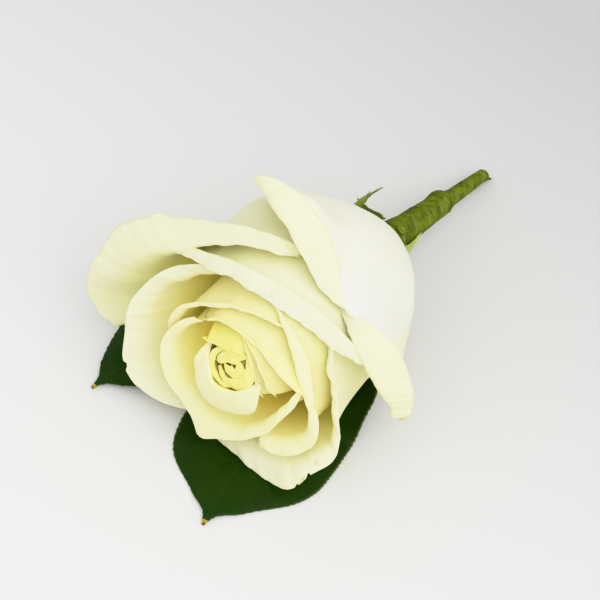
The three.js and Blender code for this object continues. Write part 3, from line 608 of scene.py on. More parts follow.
# Bruises: place across as a share of the half width, distance in from the rim, size (mm)
# and strength. Nicks: place across as a share of the half width, width and depth (mm),
# which is below 0 where the rim stands out instead.
BLEMISHES = {
    "petal_right_1": [(0.97, 0.3, 1.3, 1.0)],
    "petal_bottom_1": [(0.30, 0.3, 0.8, 0.9), (0.18, 2.0, 0.7, 0.5)],
    "petal_middle_3": [(0.12, 0.2, 0.6, 0.9)],
}
NICKS = {
    "petal_bottom_1": [(0.26, 0.45, 1.1), (0.36, 0.3, 0.7), (-0.35, 0.6, 0.5)],
    "petal_outer_left": [(0.15, 2.4, -1.6), (-0.90, 1.6, -0.7)],
    "petal_left_1": [(-0.62, 0.8, 1.0)],
    "petal_middle_1": [(0.10, 2.6, -2.0), (-0.35, 3.0, -0.6)],
}


def hip_radius_at(height):
    return HIP_RADIUS * math.sqrt(max(1 - (height / HIP_HALF_LENGTH) ** 2, 0))


def swelling(angle, height, place):
    """Change of radius at an angle (degrees) and height for one swelling."""
    middle_angle, angle_width, middle_height, height_width, amount = place
    apart = (angle - middle_angle + 180) % 360 - 180
    return amount * np.exp(-((apart / angle_width) ** 2) - ((height - middle_height) / height_width) ** 2)


def petal_surface(level, lip, u, v, rolls=(), ear=0.0):
    """A petal's middle surface on the grid of u and v: up from the axis, sideways and along it."""
    angle, radius, height, out, up = (c[:, None] for c in catmull(lip, u).T)
    v = v[None, :]
    width = OUTER_WIDTH - LAYER_STEP * level
    seat = FIRST_SEAT + SEAT_STEP * level
    seat_radius = hip_radius_at(seat) + HIP_CLEARANCE

    def body_radius(h):
        swell = 1 - clamp01(1 - (h - seat) / (BODY_HEIGHT - seat)) ** BODY_FULLNESS
        return seat_radius + (width - seat_radius) * swell

    flare = radius - body_radius(height)
    rise = clamp01(v / FOLD_START) ** RISE_POWER
    body_h = seat + (height - seat) * rise
    body_r = body_radius(body_h) + flare * rise**FLARE_POWER
    for place in list(rolls) + (SWELLINGS if level <= SWOLLEN_LEVELS else []):
        body_r = body_r + swelling(angle, body_h, place) * (1 - rise**SWELLING_POWER)
    f = clamp01((v - FOLD_START) / (1 - FOLD_START))
    lean = np.arctan(4 * flare / (height - seat))
    reach = 0.5 * np.hypot(out, up)
    middle = 2 * f * (1 - f)
    fold_r = radius + middle * reach * np.sin(lean) + f * f * out
    fold_h = height + middle * reach * np.cos(lean) + f * f * up
    in_body = v <= FOLD_START
    r = np.where(in_body, body_r, fold_r)
    h = np.where(in_body, body_h, fold_h)
    risen = clamp01(2 * (h - seat) / (height - seat))
    spread = CLAW_FRACTION + (1 - CLAW_FRACTION) * np.sin(risen * math.pi / 2)
    middle_angle = (lip[0][0] + lip[-1][0]) / 2
    if ear:
        narrowed = 1 - ear * (1 - clamp01(v / FOLD_START) ** EAR_POWER)
        spread = spread * np.where(angle > middle_angle, narrowed, 1)
    turned = np.radians(middle_angle + (angle - middle_angle) * spread)
    upward, sideways = r * np.cos(turned), r * np.sin(turned)
    if level >= HEART_LEVEL:
        lean_share = clamp01(h / HEART_TOP) ** 3
        upward = upward + HEART_SHIFT[0] * lean_share
        sideways = sideways + HEART_SHIFT[1] * lean_share
    return upward, sideways, h


def petal_rows():
    body = FOLD_START * np.linspace(0, 1, BODY_ROWS + 1)
    fold = FOLD_START + (1 - FOLD_START) * np.linspace(0, 1, FOLD_ROWS + 1)[1:]
    return np.concatenate([body, fold])


PETAL_THICKNESS = 0.42
RIM_THINNING = 0.24  # how much thinner a petal is at its rim
HEART_THINNING = 0.14  # how much of that the heart's petals lack
PETAL_SIDE = 1.2  # width of the thinned border at a petal's two sides
OUTER_GREEN_AND_PAINTED_SHADE = 0.22  # how green the inside of the outermost petals is towards the rim: partly their own greyer green, partly painted shade dimming their lit inside
CLAW_HEIGHT = 16  # where the green of a petal's claw ends
# For each kind of petal its first layer, then the depth of its broad ripples, of its fine
# ones and of the crinkles at its rim (mm): outer, inner and heart.
RIPPLES = [(0, 0.34, 0.05, 0.0), (5, 0.16, 0.03, 0.0), (12, 0.18, 0.07, 0.04)]


def petal_ripples(level, seed, across, along, rim, edge):
    """How far a petal's surface stands out from its smooth shape; rim goes from 0 at the base to
    1 at the rim, and edge rises near the rim only."""
    broad, fine, crinkle = [depths for first, *depths in RIPPLES if level >= first][-1]
    lift = 0.10 * waves(across * 0.6 + along * 0.25, seed, 22.0) * smooth(rim * 3)
    lift = lift + (broad * waves(across, seed + 1, 13.0) + fine * waves(across, seed + 2, 5.5)) * edge
    return lift + crinkle * waves(across + 0.3 * along, seed + 3, 2.6, 2) * rising(rim, 0.80, 0.16)


def petal_thickness(level, rim, side):
    """Thick at the base and thinner at the rim and at the sides."""
    heart = rising(level, 10, 2)
    thickness = PETAL_THICKNESS - (RIM_THINNING - HEART_THINNING * heart) * rising(rim, 0.3, 0.7)
    return thickness * (0.35 + 0.65 * smooth(side / PETAL_SIDE))


def petal_tints(level, height, edge, brown):
    """Yellow, green and brown of a petal's front and of its back. The outer fronts' green is partly painted
    shade; the outermost backs' whitening is partly painted light.
    """
    depth = clamp01((64 - height) / 34)
    inward = clamp01(level / 9)
    heart = rising(level, 10, 2)
    front = clamp01(0.24 + 0.30 * inward + 0.80 * depth * (0.25 + inward) + 0.18 * heart - 0.42 * edge)
    # The outermost layers' backs whiten: partly their paler tone, partly painted light on the globe.
    outermost = clamp01(1.5 - level / 3)
    back = 0.02 + 0.52 * inward + 1.0 * depth * inward - 0.15 * heart - 0.22 * edge - 0.42 * outermost
    green = smooth((CLAW_HEIGHT - height) / CLAW_HEIGHT) * 0.8
    # Outer fronts: a grey-green towards the rim, partly their own tone, partly painted shade.
    front_green_and_shade = np.maximum(green, OUTER_GREEN_AND_PAINTED_SHADE * smooth((5 - level) / 4) * (0.5 + 0.5 * edge))
    return vectors(front, front_green_and_shade, brown), vectors(back, green, brown)


def add_petal(name, kind, seed):
    level, lip = PETALS[name]
    u = np.linspace(0, 1, PETAL_COLUMNS + 1)
    rolls = [ROLL_BEHIND[name]] if name in ROLL_BEHIND else []
    upward, sideways, height = petal_surface(level, lip, u, petal_rows(), rolls, EARS.get(name, 0.0))
    grid = from_bloom(upward, sideways, height)
    along, across = distances(grid, 1), distances(grid, 0)
    across -= across[len(u) // 2]
    rim = along / along[:, -1:]
    side = np.minimum(u, 1 - u)[:, None] * across[-1:, :].max() * 2
    edge = rising(rim, 0.72, 0.28)
    lift = petal_ripples(level, seed, across, along, rim, edge)
    grid = grid + surface_normals(grid) * lift[..., None]
    forward = unit(np.gradient(grid, axis=1))
    for place, width, cut in NICKS.get(name, []):
        notch = cut * bell(across - place * across[-1:, :], width) * rising(rim, 0.78, 0.22)
        grid = grid - forward * notch[..., None]
    brown = np.zeros_like(rim)
    for place, reach, size, strength in BLEMISHES.get(name, []):
        apart = np.hypot(across - place * across[-1:, :], (1 - rim) * along[:, -1:] - reach)
        brown = brown + strength * bell(apart, size)
    tints = petal_tints(level, height, edge, brown)
    attributes = {"grain": doubled(vectors(across, along, 0.0)), "tint": doubled(*tints)}
    shape = sheet_mesh(grid, petal_thickness(level, rim, side))
    add_piece(name, shape, attributes, petal_materials[kind])


# Light and deep colour of each kind of petal; the kind is its material and its slot too.
PETAL_COLOURS = {
    "petal_heart": ((0.985, 0.88, 0.34), (0.99, 0.82, 0.10)),
    "petal_inner": ((0.970, 0.905, 0.47), (0.985, 0.86, 0.25)),
    # The outer kind's light colour is dimmed: partly its greyer tone, partly painted shade on lit inner
    # faces.
    "petal_outer": ((0.880, 0.862, 0.53), (0.95, 0.865, 0.32)),
}


def petal_kind(name):
    """The kind of a petal, from the second word of its name."""
    kinds = {"heart": "petal_heart", "inner": "petal_inner", "middle": "petal_inner"}
    return kinds.get(name.split("_")[1], "petal_outer")


petal_materials = {kind: petal_material(kind, *colours) for kind, colours in PETAL_COLOURS.items()}
for order, name in enumerate(PETALS):
    add_petal(name, petal_kind(name), 100 + 10 * order)

# ---- hip and sepals

HIP_RINGS = 38
HIP_SIDES = 72
HIP_GREENS = (0.075, 0.115, 0.004), (0.150, 0.205, 0.016)
HIP_PALE = 0.25  # how pale the hip is under the petals


def add_hip():
    """The green swelling under the petals, with five faint ribs."""
    turn = circle(HIP_SIDES)
    share = np.linspace(0, 1, HIP_RINGS + 2)[1:-1]
    height = -HIP_HALF_LENGTH * np.cos(math.pi * share)
    radius = HIP_RADIUS * np.sin(math.pi * share)
    wobble = 1 + 0.018 * np.cos(5 * turn)[None, :] + 0.012 * waves(turn * 4, 21, 3.1)[None, :]
    r = radius[:, None] * wobble
    h = height[:, None] + 0 * r
    ends = from_bloom(np.zeros(2), np.zeros(2), np.array([-HIP_HALF_LENGTH, HIP_HALF_LENGTH]))
    shape = tube_mesh(from_bloom(r * np.cos(turn), r * np.sin(turn), h), ends)
    grain = vectors(turn * HIP_RADIUS, h, HIP_PALE * rising(h, 2, 4)).reshape(-1, 3)
    grain = np.concatenate([grain, [[0, -HIP_HALF_LENGTH, 0], [0, HIP_HALF_LENGTH, HIP_PALE]]])
    green = green_material("hip", *HIP_GREENS, 0.5, 2.0, 0.0002)
    add_piece("rose_hip", shape, {"grain": grain}, green)


# Each sepal: angle around the bloom (degrees); its path as distance from the axis and
# height; half widths along it; side teeth as place along, side, length and lean; paleness.
SEPALS = {
    "sepal_1": (-50, [(5.0, -3.0), (7.5, -2.2), (11.2, 0.6), (12.0, -2.6), (11.4, -9.8)],
                [1.6, 1.1, 1.1, 1.9, 1.5, 0.12],
                [(0.54, 1, 1.6, 0.7), (0.58, -1, 3.2, 0.7), (0.66, 1, 2.8, 0.8), (0.71, -1, 3.0, 0.8),
                 (0.80, 1, 2.0, 1.0), (0.84, -1, 1.6, 1.0)], 0.05),
    "sepal_2": (32, [(5.0, -1.0), (5.2, -1.6), (5.2, -2.4), (5.05, -3.2)],
                [1.3, 1.2, 0.9, 0.5, 0.1], [(0.62, -1, 0.8, 1.0)], 0.0),
    "sepal_3": (92, [(4.9, -1.0), (5.5, -2.0), (5.3, -4.6), (4.9, -7.6), (4.6, -10.0)],
                [1.9, 1.6, 1.3, 0.9, 0.12],
                [(0.30, 1, 1.2, 1.0), (0.38, -1, 1.5, 0.6), (0.55, -1, 1.1, 1.0)], 0.75),
    "sepal_4": (178, [(4.9, -1.2), (7.6, 0.2), (10.4, 2.2), (13.0, 5.0)],
                [1.9, 1.8, 1.5, 1.0, 0.15],
                [(0.40, 1, 1.8, 1.0), (0.55, -1, 1.8, 1.0), (0.72, 1, 1.2, 1.0)], 0.15),
    "sepal_5": (248, [(4.9, -1.2), (7.8, 0.0), (10.8, 1.8), (13.6, 4.2)],
                [1.9, 1.8, 1.5, 1.0, 0.15],
                [(0.38, -1, 1.8, 1.0), (0.52, 1, 1.8, 1.0), (0.74, -1, 1.2, 1.0)], 0.1),
}
SEPAL_THICKNESS = 0.5
SEPAL_TIP_PALE = 0.22  # how much paler a sepal is towards its tip
SEPAL_ROWS = 61
SEPAL_COLUMNS = 17
TOOTH_ROWS = 12
TOOTH_COLUMNS = 5
TOOTH_THICKNESS = 0.22


def sepal_tooth(root, sideways, heading, facing, side, length, lean):
    """A narrow curved blade from a sepal's side: its grid, places across it and places along it."""
    t = np.linspace(0, 1, TOOTH_ROWS)
    reach = root + np.outer(t * length * 0.75, sideways) * side
    reach = reach + np.outer(t**1.2 * length * lean, heading) + np.outer(0.25 * t**2 * length, facing)
    narrow = 0.34 * length * 0.55 * (1 - t) ** 0.8 + 0.03
    x = np.linspace(-1, 1, TOOTH_COLUMNS)[:, None] * narrow[None, :]
    return reach[None] + x[..., None] * unit(heading * 0.8 - sideways * side * 0.6), x, t[None, :]


def add_sepal(name, seed, material):
    angle, path, widths, teeth, pale = SEPALS[name]
    turn = math.radians(angle)
    outward = math.cos(turn) * UPWARD + math.sin(turn) * SIDEWAYS
    sideways = math.sin(turn) * UPWARD - math.cos(turn) * SIDEWAYS
    v = np.linspace(0, 1, SEPAL_ROWS)
    across = np.linspace(-1, 1, SEPAL_COLUMNS)[:, None]
    radius, height = catmull(path, v).T
    half_width = catmull([[w] for w in widths], v)[:, 0]
    middle = BLOOM_BASE + radius[:, None] * outward + height[:, None] * AXIS
    heading = unit(np.gradient(middle, axis=0))
    facing = unit(np.cross(heading, sideways))
    sway = 0.25 * waves(v * 20, seed, 11.0)
    x = across * half_width[None, :] * (1 + 0.08 * waves(v * 20, seed + 1, 3.0))[None, :]
    cup = 0.22 * (across**2) * half_width[None, :] - 0.10 * bell(across, 0.12)
    grid = middle[None] + (x + sway[None, :])[..., None] * sideways + cup[..., None] * facing[None]
    thickness = SEPAL_THICKNESS * (1 - 0.55 * np.abs(across) ** 2) * (1 - 0.5 * v[None, :] ** 3)
    along = distances(middle)
    parts = [sheet_mesh(grid, thickness)]
    grains = [doubled(vectors(x, along[None, :], pale + SEPAL_TIP_PALE * rising(v, 0.45, 0.3)))]
    for place, side, length, lean in teeth:
        at = int(place * (SEPAL_ROWS - 1))
        root = middle[at] + sideways * (side * half_width[at] * 0.6 + sway[at])
        blade, x, t = sepal_tooth(root, sideways, heading[at], facing[at], side, length, lean)
        parts.append(sheet_mesh(blade, TOOTH_THICKNESS * (1 - 0.6 * t)))
        grains.append(doubled(vectors(x, along[at] + t, pale)))
    add_piece(name, joined(parts), {"grain": np.concatenate(grains)}, material)


add_hip()
sepal_green = green_material("sepal", (0.050, 0.080, 0.003), (0.21, 0.27, 0.018), 0.5, 1.6, 0.00025)
for order, name in enumerate(SEPALS):
    add_sepal(name, 300 + 10 * order, sepal_green)

# ---- stem, wire and tape

STEM_RADIUS = 1.7
STEM_START = 8.6  # distances behind the petals' base, here and below
STEM_LENGTH = 17.0
STEM_END = STEM_START + STEM_LENGTH
STEM_ROWS = 60
STEM_SIDES = 48
STEM_GREENS = (0.055, 0.120, 0.015), (0.13, 0.24, 0.04)

WIRE_RADIUS = 0.3
WIRE_OFFSET = 2.3  # from the stem's axis, beside the rose's own stem
WIRE_END_OFFSET = 0.55  # the same, past the end of the rose's own stem
WIRE_TOP = 2.6
WIRE_PLACES = 240
WIRE_SIDES = 12

TAPE_PROFILE = [  # distance, outer and inner radius
    (1.2, 4.72, 4.5), (3.4, 4.70, 4.4), (5.5, 4.35, 4.0), (9, 3.95, 3.5), (14, 3.75, 3.3),
    (20, 3.4, 3.0), (26, 3.15, 2.8), (29, 2.95, 2.5), (32, 2.2, 1.3), (41, 2.05, 1.3), (50.6, 1.75, 1.3),
]
TAPE_CAP = 1.6  # length of the rounded end
TAPE_ROWS = 300
TAPE_SIDES = 144
TAPE_SMOOTHING = 6  # rows on either side that soften the profile's corners
TAPE_WALL = 0.18  # the least thickness between the outer and the inner wall
TAPE_PITCH = 8.5
TAPE_STEP = 0.13  # height of one winding's edge above the next
LAP_START = 0.14  # how far the first windings lie below the profile
SHOULDER_PLACE, SHOULDER_WIDTH, SHOULDER_HEIGHT = 27.6, 2.6, 0.85  # past the rose's own stem
SEAM_TURN, SEAM_TWIST = 1.75, 0.02  # where the long seam starts, and its turn for each millimetre
SEAM_LAP = 0.9  # turn over which the tape rises to the seam
SEAM_HEIGHT = 0.34
SEAM_END = 16.0  # where the seam starts to fade away
FOLD_SHADE, SEAM_SHADE = 0.4, 0.9  # how dark the painted shade along the edges of the windings and along the seam is
FLAP_TURN = math.radians(118)
FLAP_THICKNESS = 0.16


def stem_axis_points(distance, upward=0.0, sideways=0.0):
    along = -np.asarray(distance, float)[..., None] * STEM_AXIS
    across = np.asarray(upward)[..., None] * STEM_UPWARD + np.asarray(sideways)[..., None] * STEM_SIDEWAYS
    return BLOOM_BASE + along + across


def add_stem():
    distance = np.linspace(STEM_START, STEM_END, STEM_ROWS)
    radii = STEM_RADIUS * (1 - 0.03 * rising(distance, STEM_START, STEM_LENGTH))
    radii = radii - 0.05 + 0.04 * waves(distance, 41, 7.0)
    shape = round_tube(stem_axis_points(distance), radii, STEM_UPWARD, STEM_SIDES)
    around = circle(STEM_SIDES, STEM_RADIUS)[None, :]
    grain = vectors(around, distance[:, None], 0.0).reshape(-1, 3)
    grain = np.concatenate([grain, [[0, STEM_START, 1], [0, STEM_END, 1]]])
    green = green_material("stem", *STEM_GREENS, 0.45, 2.2, 0.0002)
    add_piece("rose_stem", shape, {"grain": grain}, green)


def hairpin():
    """The wire's path: up one side of the stem, through the hip and down the other side."""
    leg = [
        (STEM_END + 20, WIRE_END_OFFSET), (STEM_END + 9, WIRE_END_OFFSET),
        (STEM_END + 5, WIRE_END_OFFSET + 0.1), (STEM_END + 0.6, WIRE_OFFSET - 0.1),
        (STEM_END - 3, WIRE_OFFSET), (STEM_START + 5, WIRE_OFFSET), (WIRE_TOP + 3, WIRE_OFFSET),
        (WIRE_TOP + 0.8, WIRE_OFFSET * 0.75), (WIRE_TOP, 0.0),
    ]
    return leg + [(distance, -side) for distance, side in reversed(leg[:-1])]


def add_wire():
    distance, side = catmull(hairpin(), np.linspace(0, 1, WIRE_PLACES)).T
    path = stem_axis_points(distance, 0.0 * side, -side)
    shape = round_tube(path, np.full(WIRE_PLACES, WIRE_RADIUS), STEM_UPWARD, WIRE_SIDES)
    add_piece("florist_wire", shape, {}, wire_material())


def tape_radius(t, d, outer, wound, seam):
    """Radius of the tape's outer wall at the turns t and the distances d."""
    lap = TAPE_STEP * (1 - smooth(wound / 0.10)) + TAPE_STEP * 0.55 * wound
    r = outer - LAP_START + lap
    r = r * (1 + 0.035 * np.cos(2 * t + 0.08 * d) + 0.02 * np.cos(3 * t - 0.21 * d + 1.0))
    creases = waves(d * 1.0 + 1.1 * t, 51, 2.1) * (0.5 + 0.5 * waves(2.2 * t - 0.3 * d, 52, 3.2))
    r = r + 0.055 * creases + 0.03 * waves(5.0 * t + 0.4 * d, 53, 1.9)
    shoulder = bell(d - SHOULDER_PLACE, SHOULDER_WIDTH) * np.exp(-((np.cos(t + 0.9) - 1) ** 2) / 0.8)
    r = r + SHOULDER_HEIGHT * shoulder
    lapped = smooth((t - seam + SEAM_LAP) / SEAM_LAP) * (t < seam) * (1 - rising(d, SEAM_END, 3.5))
    return r + SEAM_HEIGHT * lapped


def tape_tint(t, d, wound, seam):
    """Painted sheen in patches, strongest on one side, and painted shade along the edges of the windings
    and the seam.
    """
    # Painted shade along the edges of the windings, of uneven strength.
    fold = bell(np.minimum(wound, 1 - wound), 0.03) * FOLD_SHADE
    fold = fold * (0.35 + 0.65 * smooth(0.5 + waves(2.0 * t + 0 * d, 54, 5.0)))
    # Painted shade along the seam, where the lapped tape steps down.
    painted_seam_shade = bell(t - seam - 0.03, 0.05) * (1 - rising(d, SEAM_END + 0.5, 2.5))
    # Painted sheen: lighter patches, strongest on one side of the tape.
    painted_sheen = 0.42 + 0.5 * waves(d * 0.9 + 1.2 * t, 55, 6.0) + 0.3 * waves(d * 1.7 - 2.0 * t, 56, 3.0)
    painted_sheen = clamp01(painted_sheen) * (0.35 + 0.65 * smooth(0.5 - np.cos(t - 1.9 + math.pi) * 0.7))
    return vectors(painted_sheen, np.maximum(fold, SEAM_SHADE * painted_seam_shade), 0.0)


def add_tape():
    """A crinkled tape wound down the stem: an outer and an inner wall, closed at the tip."""
    start, end = TAPE_PROFILE[0][0], TAPE_PROFILE[-1][0]
    distance = np.linspace(start, end, TAPE_ROWS)
    places, outer, inner = np.array(TAPE_PROFILE).T
    outer = np.pad(np.interp(distance, places, outer), TAPE_SMOOTHING, mode="edge")
    count = 2 * TAPE_SMOOTHING + 1
    outer = np.convolve(outer, np.ones(count) / count, mode="valid")[:, None]
    inner = np.interp(distance, places, inner)[:, None]
    t, d = circle(TAPE_SIDES)[None, :], distance[:, None]
    wound = (d / TAPE_PITCH - t / (2 * math.pi) + 0.06 * np.sin(2 * t + d * 0.5)) % 1.0
    seam = SEAM_TURN - SEAM_TWIST * (d - start)
    r = tape_radius(t, d, outer, wound, seam)
    share = np.linspace(0, 1, 14)[1:-1][:, None]
    cap_d = end + TAPE_CAP * share
    cap_r = r[-1][None, :] * np.sqrt(1 - share**1.7)
    slant = 0.9 * np.cos(t - 0.3)
    inside = from_stem(t, np.minimum(inner, r - TAPE_WALL), d)[::-1]
    cap = from_stem(t, cap_r, cap_d + slant * share**2 * -0.6)
    ends = stem_axis_points(np.array([end - 0.1, end + TAPE_CAP]))
    sleeve = tube_mesh(np.concatenate([inside, from_stem(t, r, d), cap]), ends, inward=True)
    flap, flap_grain = tape_flap(end)
    around = t * outer
    grains, tints = vectors(around, d, 0.0), tape_tint(t, d, wound, seam)
    grains = [grains[::-1], grains, vectors(around[-1], cap_d, 0.0)]
    tints = [tints[::-1], tints, np.broadcast_to(tints[-1], grains[-1].shape)]
    grains += [np.array([[0, end, 0], [0, end + TAPE_CAP, 0]]), flap_grain]
    # The tape's end and loose flap get fixed amounts of painted sheen and painted shade.
    tints += [np.array([[0.5, 0, 0], [0.5, 0, 0]]), np.broadcast_to([0.4, 0.2, 0.0], flap_grain.shape)]
    grain, tint = (np.concatenate([part.reshape(-1, 3) for part in parts]) for parts in (grains, tints))
    attributes = {"grain": grain, "tint": tint}
    add_piece("floral_tape", joined([sleeve, flap]), attributes, tape_material())


def tape_flap(end):
    """The loose corner of the tape's end: its shape and its grain."""
    u = np.linspace(-1, 1, 13)[:, None]
    v = np.linspace(0, 1, 25)[None, :]
    width = 1.5 * (1 - v) ** 0.8 + 0.08
    turn = FLAP_TURN + u * width / 1.7
    radius = 1.5 + 0.55 * v + 0.08 * np.sin(9 * v)
    distance = end - 1.0 + 3.4 * v + 0.25 * u
    shape = sheet_mesh(from_stem(turn, radius, distance), FLAP_THICKNESS)
    return shape, doubled(vectors(u * width, distance, 0.0))


add_stem()
add_wire()
add_tape()

# ---- the leaves

# Where the leaves' places are counted from, on the surface.
LEAF_ORIGIN = (BLOOM_BASE - np.array([25.9, -8.1, 0.0])) * np.array([1.0, 1.0, 0.0])
LEAF_THICKNESS = 0.5
LEAF_DROOP_WIDTH = 12.0  # half width from which a leaf hangs down fully beside its midrib
LEAF_LEAST_WIDTH = 0.25
LEAF_CLEARANCE = 0.12  # above the surface
VEIN_SPACING = 6.4
VEIN_SLANT = 0.62  # how far a side vein has run on for each millimetre away from the midrib
VEIN_WIDTH = 0.34
PETIOLE_RADIUS = 0.55
PETIOLE_PLACES = 90
PETIOLE_SIDES = 16
PETIOLE_TINT = (0.75, 0.0, 0.0)
LEAF_COLUMNS = 121
LEAF_ROWS = 241
# Each leaf: places along its midrib; half widths at even steps from base to tip; share of its
# height that it loses towards the margin on its +Y and its -Y side; height of the curled
# margin on those sides, with the curl's place along the leaf and its half length as shares
# of the leaf; places along its petiole.
LEAVES = {
    "leaf_right": {
        "midrib": [(17, -8.9, 6.2), (10, -9.1, 4.7), (-3, -9.1, 3.5), (-20, -8.9, 2.6),
                   (-37, -9.2, 1.6), (-50, -10.9, 1.1), (-57.4, -11.9, 0.7)],
        "half_widths": [0.9, 6.4, 14.2, 18.6, 19.4, 19.9, 20.4, 20.0, 16.6, 7.6, 0.3],
        "droop": (0.86, 0.86),
        "curl": (0.0, 10.5, 0.25, 0.24),
        "petiole": [(1, -9.1, 3.9), (10, -9.1, 4.7), (17, -8.9, 6.2), (24, -8.9, 10.6), (29.5, -9, 13.9),
                    (34, -9, 14.5), (38, -9, 13.9), (44, -9, 11.5), (48, -9, 9.9)],
    },
    "leaf_left": {
        "midrib": [(19, 3.0, 8.2), (13, 7.6, 6.6), (0, 15.8, 5.4), (-15, 24.0, 4.4),
                   (-29, 30.6, 2.8), (-41.7, 34.9, 1.0)],
        "half_widths": [0.9, 4.8, 10.4, 14.8, 17.4, 18.2, 17.6, 15.2, 10.9, 5.4, 0.3],
        "droop": (0.86, 0.1),
        "curl": (0.0, 0.0, 0.5, 0.25),
        "petiole": [(6, 12.2, 5.9), (13, 7.6, 6.6), (19, 3.0, 8.2), (25, -2.6, 12.0), (29.5, -5.9, 14.2),
                    (34, -7.0, 14.6), (38, -7.0, 13.9), (44, -7.1, 11.5), (48, -7.2, 9.9)],
    },
}


def even_along(rows, count):
    """Points spaced evenly along a curve through rows."""
    dense = catmull(rows, np.linspace(0, 1, 800))
    travelled = distances(dense)
    wanted = np.linspace(0, travelled[-1], count)
    return np.stack([np.interp(wanted, travelled, dense[:, k]) for k in range(3)], axis=-1), wanted


def leaf_veins(x, a, v, travelled, seed):
    """Strength of the side veins, and how the leaf puffs up between them."""
    far = np.abs(a)
    slant = (travelled - VEIN_SLANT * np.abs(x) - 0.012 * x**2) / VEIN_SPACING + 0.35 * (a > 0)
    slant = (slant + 0.05 * waves(travelled, seed, 23.0)) % 1.0
    vein = bell(np.abs(slant - 0.5) * VEIN_SPACING, VEIN_WIDTH)
    vein = vein * (1 - rising(far, 0.62, 0.34)) * smooth(v * 6)
    return vein, 0.22 * np.sin(math.pi * slant + math.pi) * smooth(far * 5) * (1 - far**2)


def leaf_blade(leaf, seed):
    """A leaf's grid of points, its thickness, and the vectors for its material."""
    middle, travelled = even_along(leaf["midrib"], LEAF_ROWS)
    side = -unit(np.cross(unit(np.gradient(middle, axis=0)), [0.0, 0.0, 1.0]))
    travelled = travelled[None, :]
    v = travelled / travelled[0, -1]
    half_width = catmull([[w] for w in leaf["half_widths"]], v[0])[:, 0] * (1 - 0.5 * rising(v, 0.91, 0.06))
    half_width = np.maximum(half_width, LEAF_LEAST_WIDTH)
    even = np.linspace(-1, 1, LEAF_COLUMNS)
    a = (np.sign(even) * np.abs(even) ** 1.15)[:, None]
    far = np.abs(a)
    droop = np.where(a < 0, *leaf["droop"]) * (0.1 + 0.9 * smooth(half_width / LEAF_DROOP_WIDTH))
    back_curl, front_curl, curl_place, curl_length = leaf["curl"]
    curl = np.where(a < 0, back_curl, front_curl) * far**3
    curl = curl * clamp01(1 - ((v - curl_place) / curl_length) ** 2) ** 2
    serration = 1 + (0.10 * waves(travelled, seed, 1.6, 2) / np.maximum(half_width, 1)) * far**8
    x = a * half_width * serration
    margin = 0.35 * waves(travelled + 40 * (a > 0), seed + 1, 17.0) * far**3
    vein, puff = leaf_veins(x, a, v, travelled, seed + 2)
    rib = bell(x, 0.75 - 0.45 * v)
    height = middle[None, :, 2] * (1 - droop * far**2) + LEAF_THICKNESS / 2 + curl
    height = height + margin * rising(height, 1.0, 1.5) - 0.05 * vein - 0.30 * rib - 0.5 * puff
    thickness = LEAF_THICKNESS * (1 - 0.55 * far**6) * (1 + 0.9 * rib)
    grid = middle[None] + x[..., None] * side[None] + LEAF_ORIGIN
    grid[..., 2] = np.maximum(height, LEAF_CLEARANCE + thickness / 2)
    tint = vectors(clamp01(0.7 * rib + 0.5 * vein), rising(v, 0.968, 0.03), 0.0)
    return grid, thickness, vectors(x, travelled, far), tint


def add_leaf(name, seed, material):
    leaf = LEAVES[name]
    grid, thickness, grain, tint = leaf_blade(leaf, seed)
    path, along = even_along(leaf["petiole"], PETIOLE_PLACES)
    radii = PETIOLE_RADIUS * (1 + 0.15 * rising(along, 12, 10))
    petiole = round_tube(path + LEAF_ORIGIN, radii, np.array([0.0, 0.0, 1.0]), PETIOLE_SIDES)
    x, y, _ = petiole[0].T
    attributes = {
        "grain": np.concatenate([doubled(grain), vectors(y, x, 0.0)]),
        "tint": np.concatenate([doubled(tint), np.broadcast_to(PETIOLE_TINT, (len(x), 3))]),
    }
    add_piece(name, joined([sheet_mesh(grid, thickness), petiole]), attributes, material)


leaf_green = leaf_material()
add_leaf("leaf_right", 400, leaf_green)
add_leaf("leaf_left", 420, leaf_green)

# ---- camera and the stage

CAMERA_ELEVATION = math.radians(54)
CAMERA_AZIMUTH = math.radians(-54.5)
CAMERA_DISTANCE = 620.0
CAMERA_LENS = 148.8
CAMERA_SENSOR = 36.0
CAMERA_REACH = 20.0  # metres
CAMERA_AIM = BLOOM_BASE + np.array([-25.9, 8.1, -2.5])
SOFTBOX_DISTANCE = 1100
SOFTBOX_SIZE = 900
# Each softbox: azimuth and elevation (degrees), power and colour.
SOFTBOXES = {"key": (-16, 58, 7.2, (1.0, 0.99, 0.97)), "fill": (-100, 44, 1.9, (1.0, 1.0, 1.0))}
SKY_COLOUR, SKY_STRENGTH = (0.99, 0.995, 1.0, 1.0), 0.62
FLOOR_REACH = 4.0  # metres from the middle to each edge


def compass(azimuth, elevation):
    """Direction of a place seen at azimuth, from -Y towards +X, and elevation."""
    flat = math.cos(elevation)
    return np.array([math.sin(azimuth) * flat, -math.cos(azimuth) * flat, math.sin(elevation)])


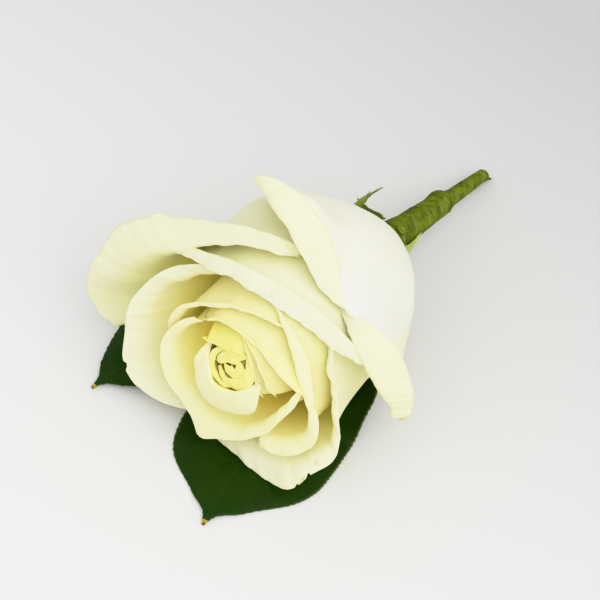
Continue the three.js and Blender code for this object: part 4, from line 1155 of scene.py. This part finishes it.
def aim(thing, place, target):
    thing.location = Vector((place * MM).tolist())
    direction = Vector((target - place).tolist())
    thing.rotation_euler = direction.to_track_quat("-Z", "Y").to_euler()


def add_camera():
    camera = add_object("camera", bpy.data.cameras.new("camera"))
    camera.data.lens = CAMERA_LENS
    camera.data.sensor_width = CAMERA_SENSOR
    camera.data.clip_end = CAMERA_REACH
    aim(camera, CAMERA_AIM + compass(CAMERA_AZIMUTH, CAMERA_ELEVATION) * CAMERA_DISTANCE, CAMERA_AIM)
    bpy.context.scene.camera = camera


def add_softbox(name, azimuth, elevation, power, colour):
    lamp = add_object(name, bpy.data.lights.new(name, "AREA"))
    lamp.data.shape = "SQUARE"
    lamp.data.size = SOFTBOX_SIZE * MM
    lamp.data.energy = power
    lamp.data.color = colour
    direction = compass(math.radians(azimuth), math.radians(elevation))
    aim(lamp, CAMERA_AIM + direction * SOFTBOX_DISTANCE, CAMERA_AIM)


# The camera's response: scene brightness against what is shown, soft towards white.
RESPONSE = [(0.0, 0.0), (0.04, 0.04), (0.30, 0.36), (0.55, 0.67), (0.80, 0.84), (1.0, 0.91)]


def set_response():
    view = bpy.context.scene.view_settings
    view.view_transform = "Standard"
    view.use_curve_mapping = True
    curve = view.curve_mapping.curves[3]
    curve.points[0].location = RESPONSE[0]
    curve.points[1].location = RESPONSE[-1]
    for place in RESPONSE[1:-1]:
        curve.points.new(*place)
    view.curve_mapping.update()


def add_floor():
    mesh = bpy.data.meshes.new("floor")
    corners = [(x * FLOOR_REACH, y * FLOOR_REACH, 0) for x, y in ((-1, -1), (1, -1), (1, 1), (-1, 1))]
    mesh.from_pydata(corners, [], [(0, 1, 2, 3)])
    mesh.materials.append(floor_material())
    floor = add_object("floor", mesh)


def add_sky():
    world = bpy.data.worlds.new("studio")
    world.use_nodes = True
    sky = world.node_tree.nodes["Background"].inputs
    sky["Color"].default_value = SKY_COLOUR
    sky["Strength"].default_value = SKY_STRENGTH
    bpy.context.scene.world = world


add_camera()
add_floor()
add_sky()
set_response()
for name, settings in SOFTBOXES.items():
    add_softbox(name, *settings)
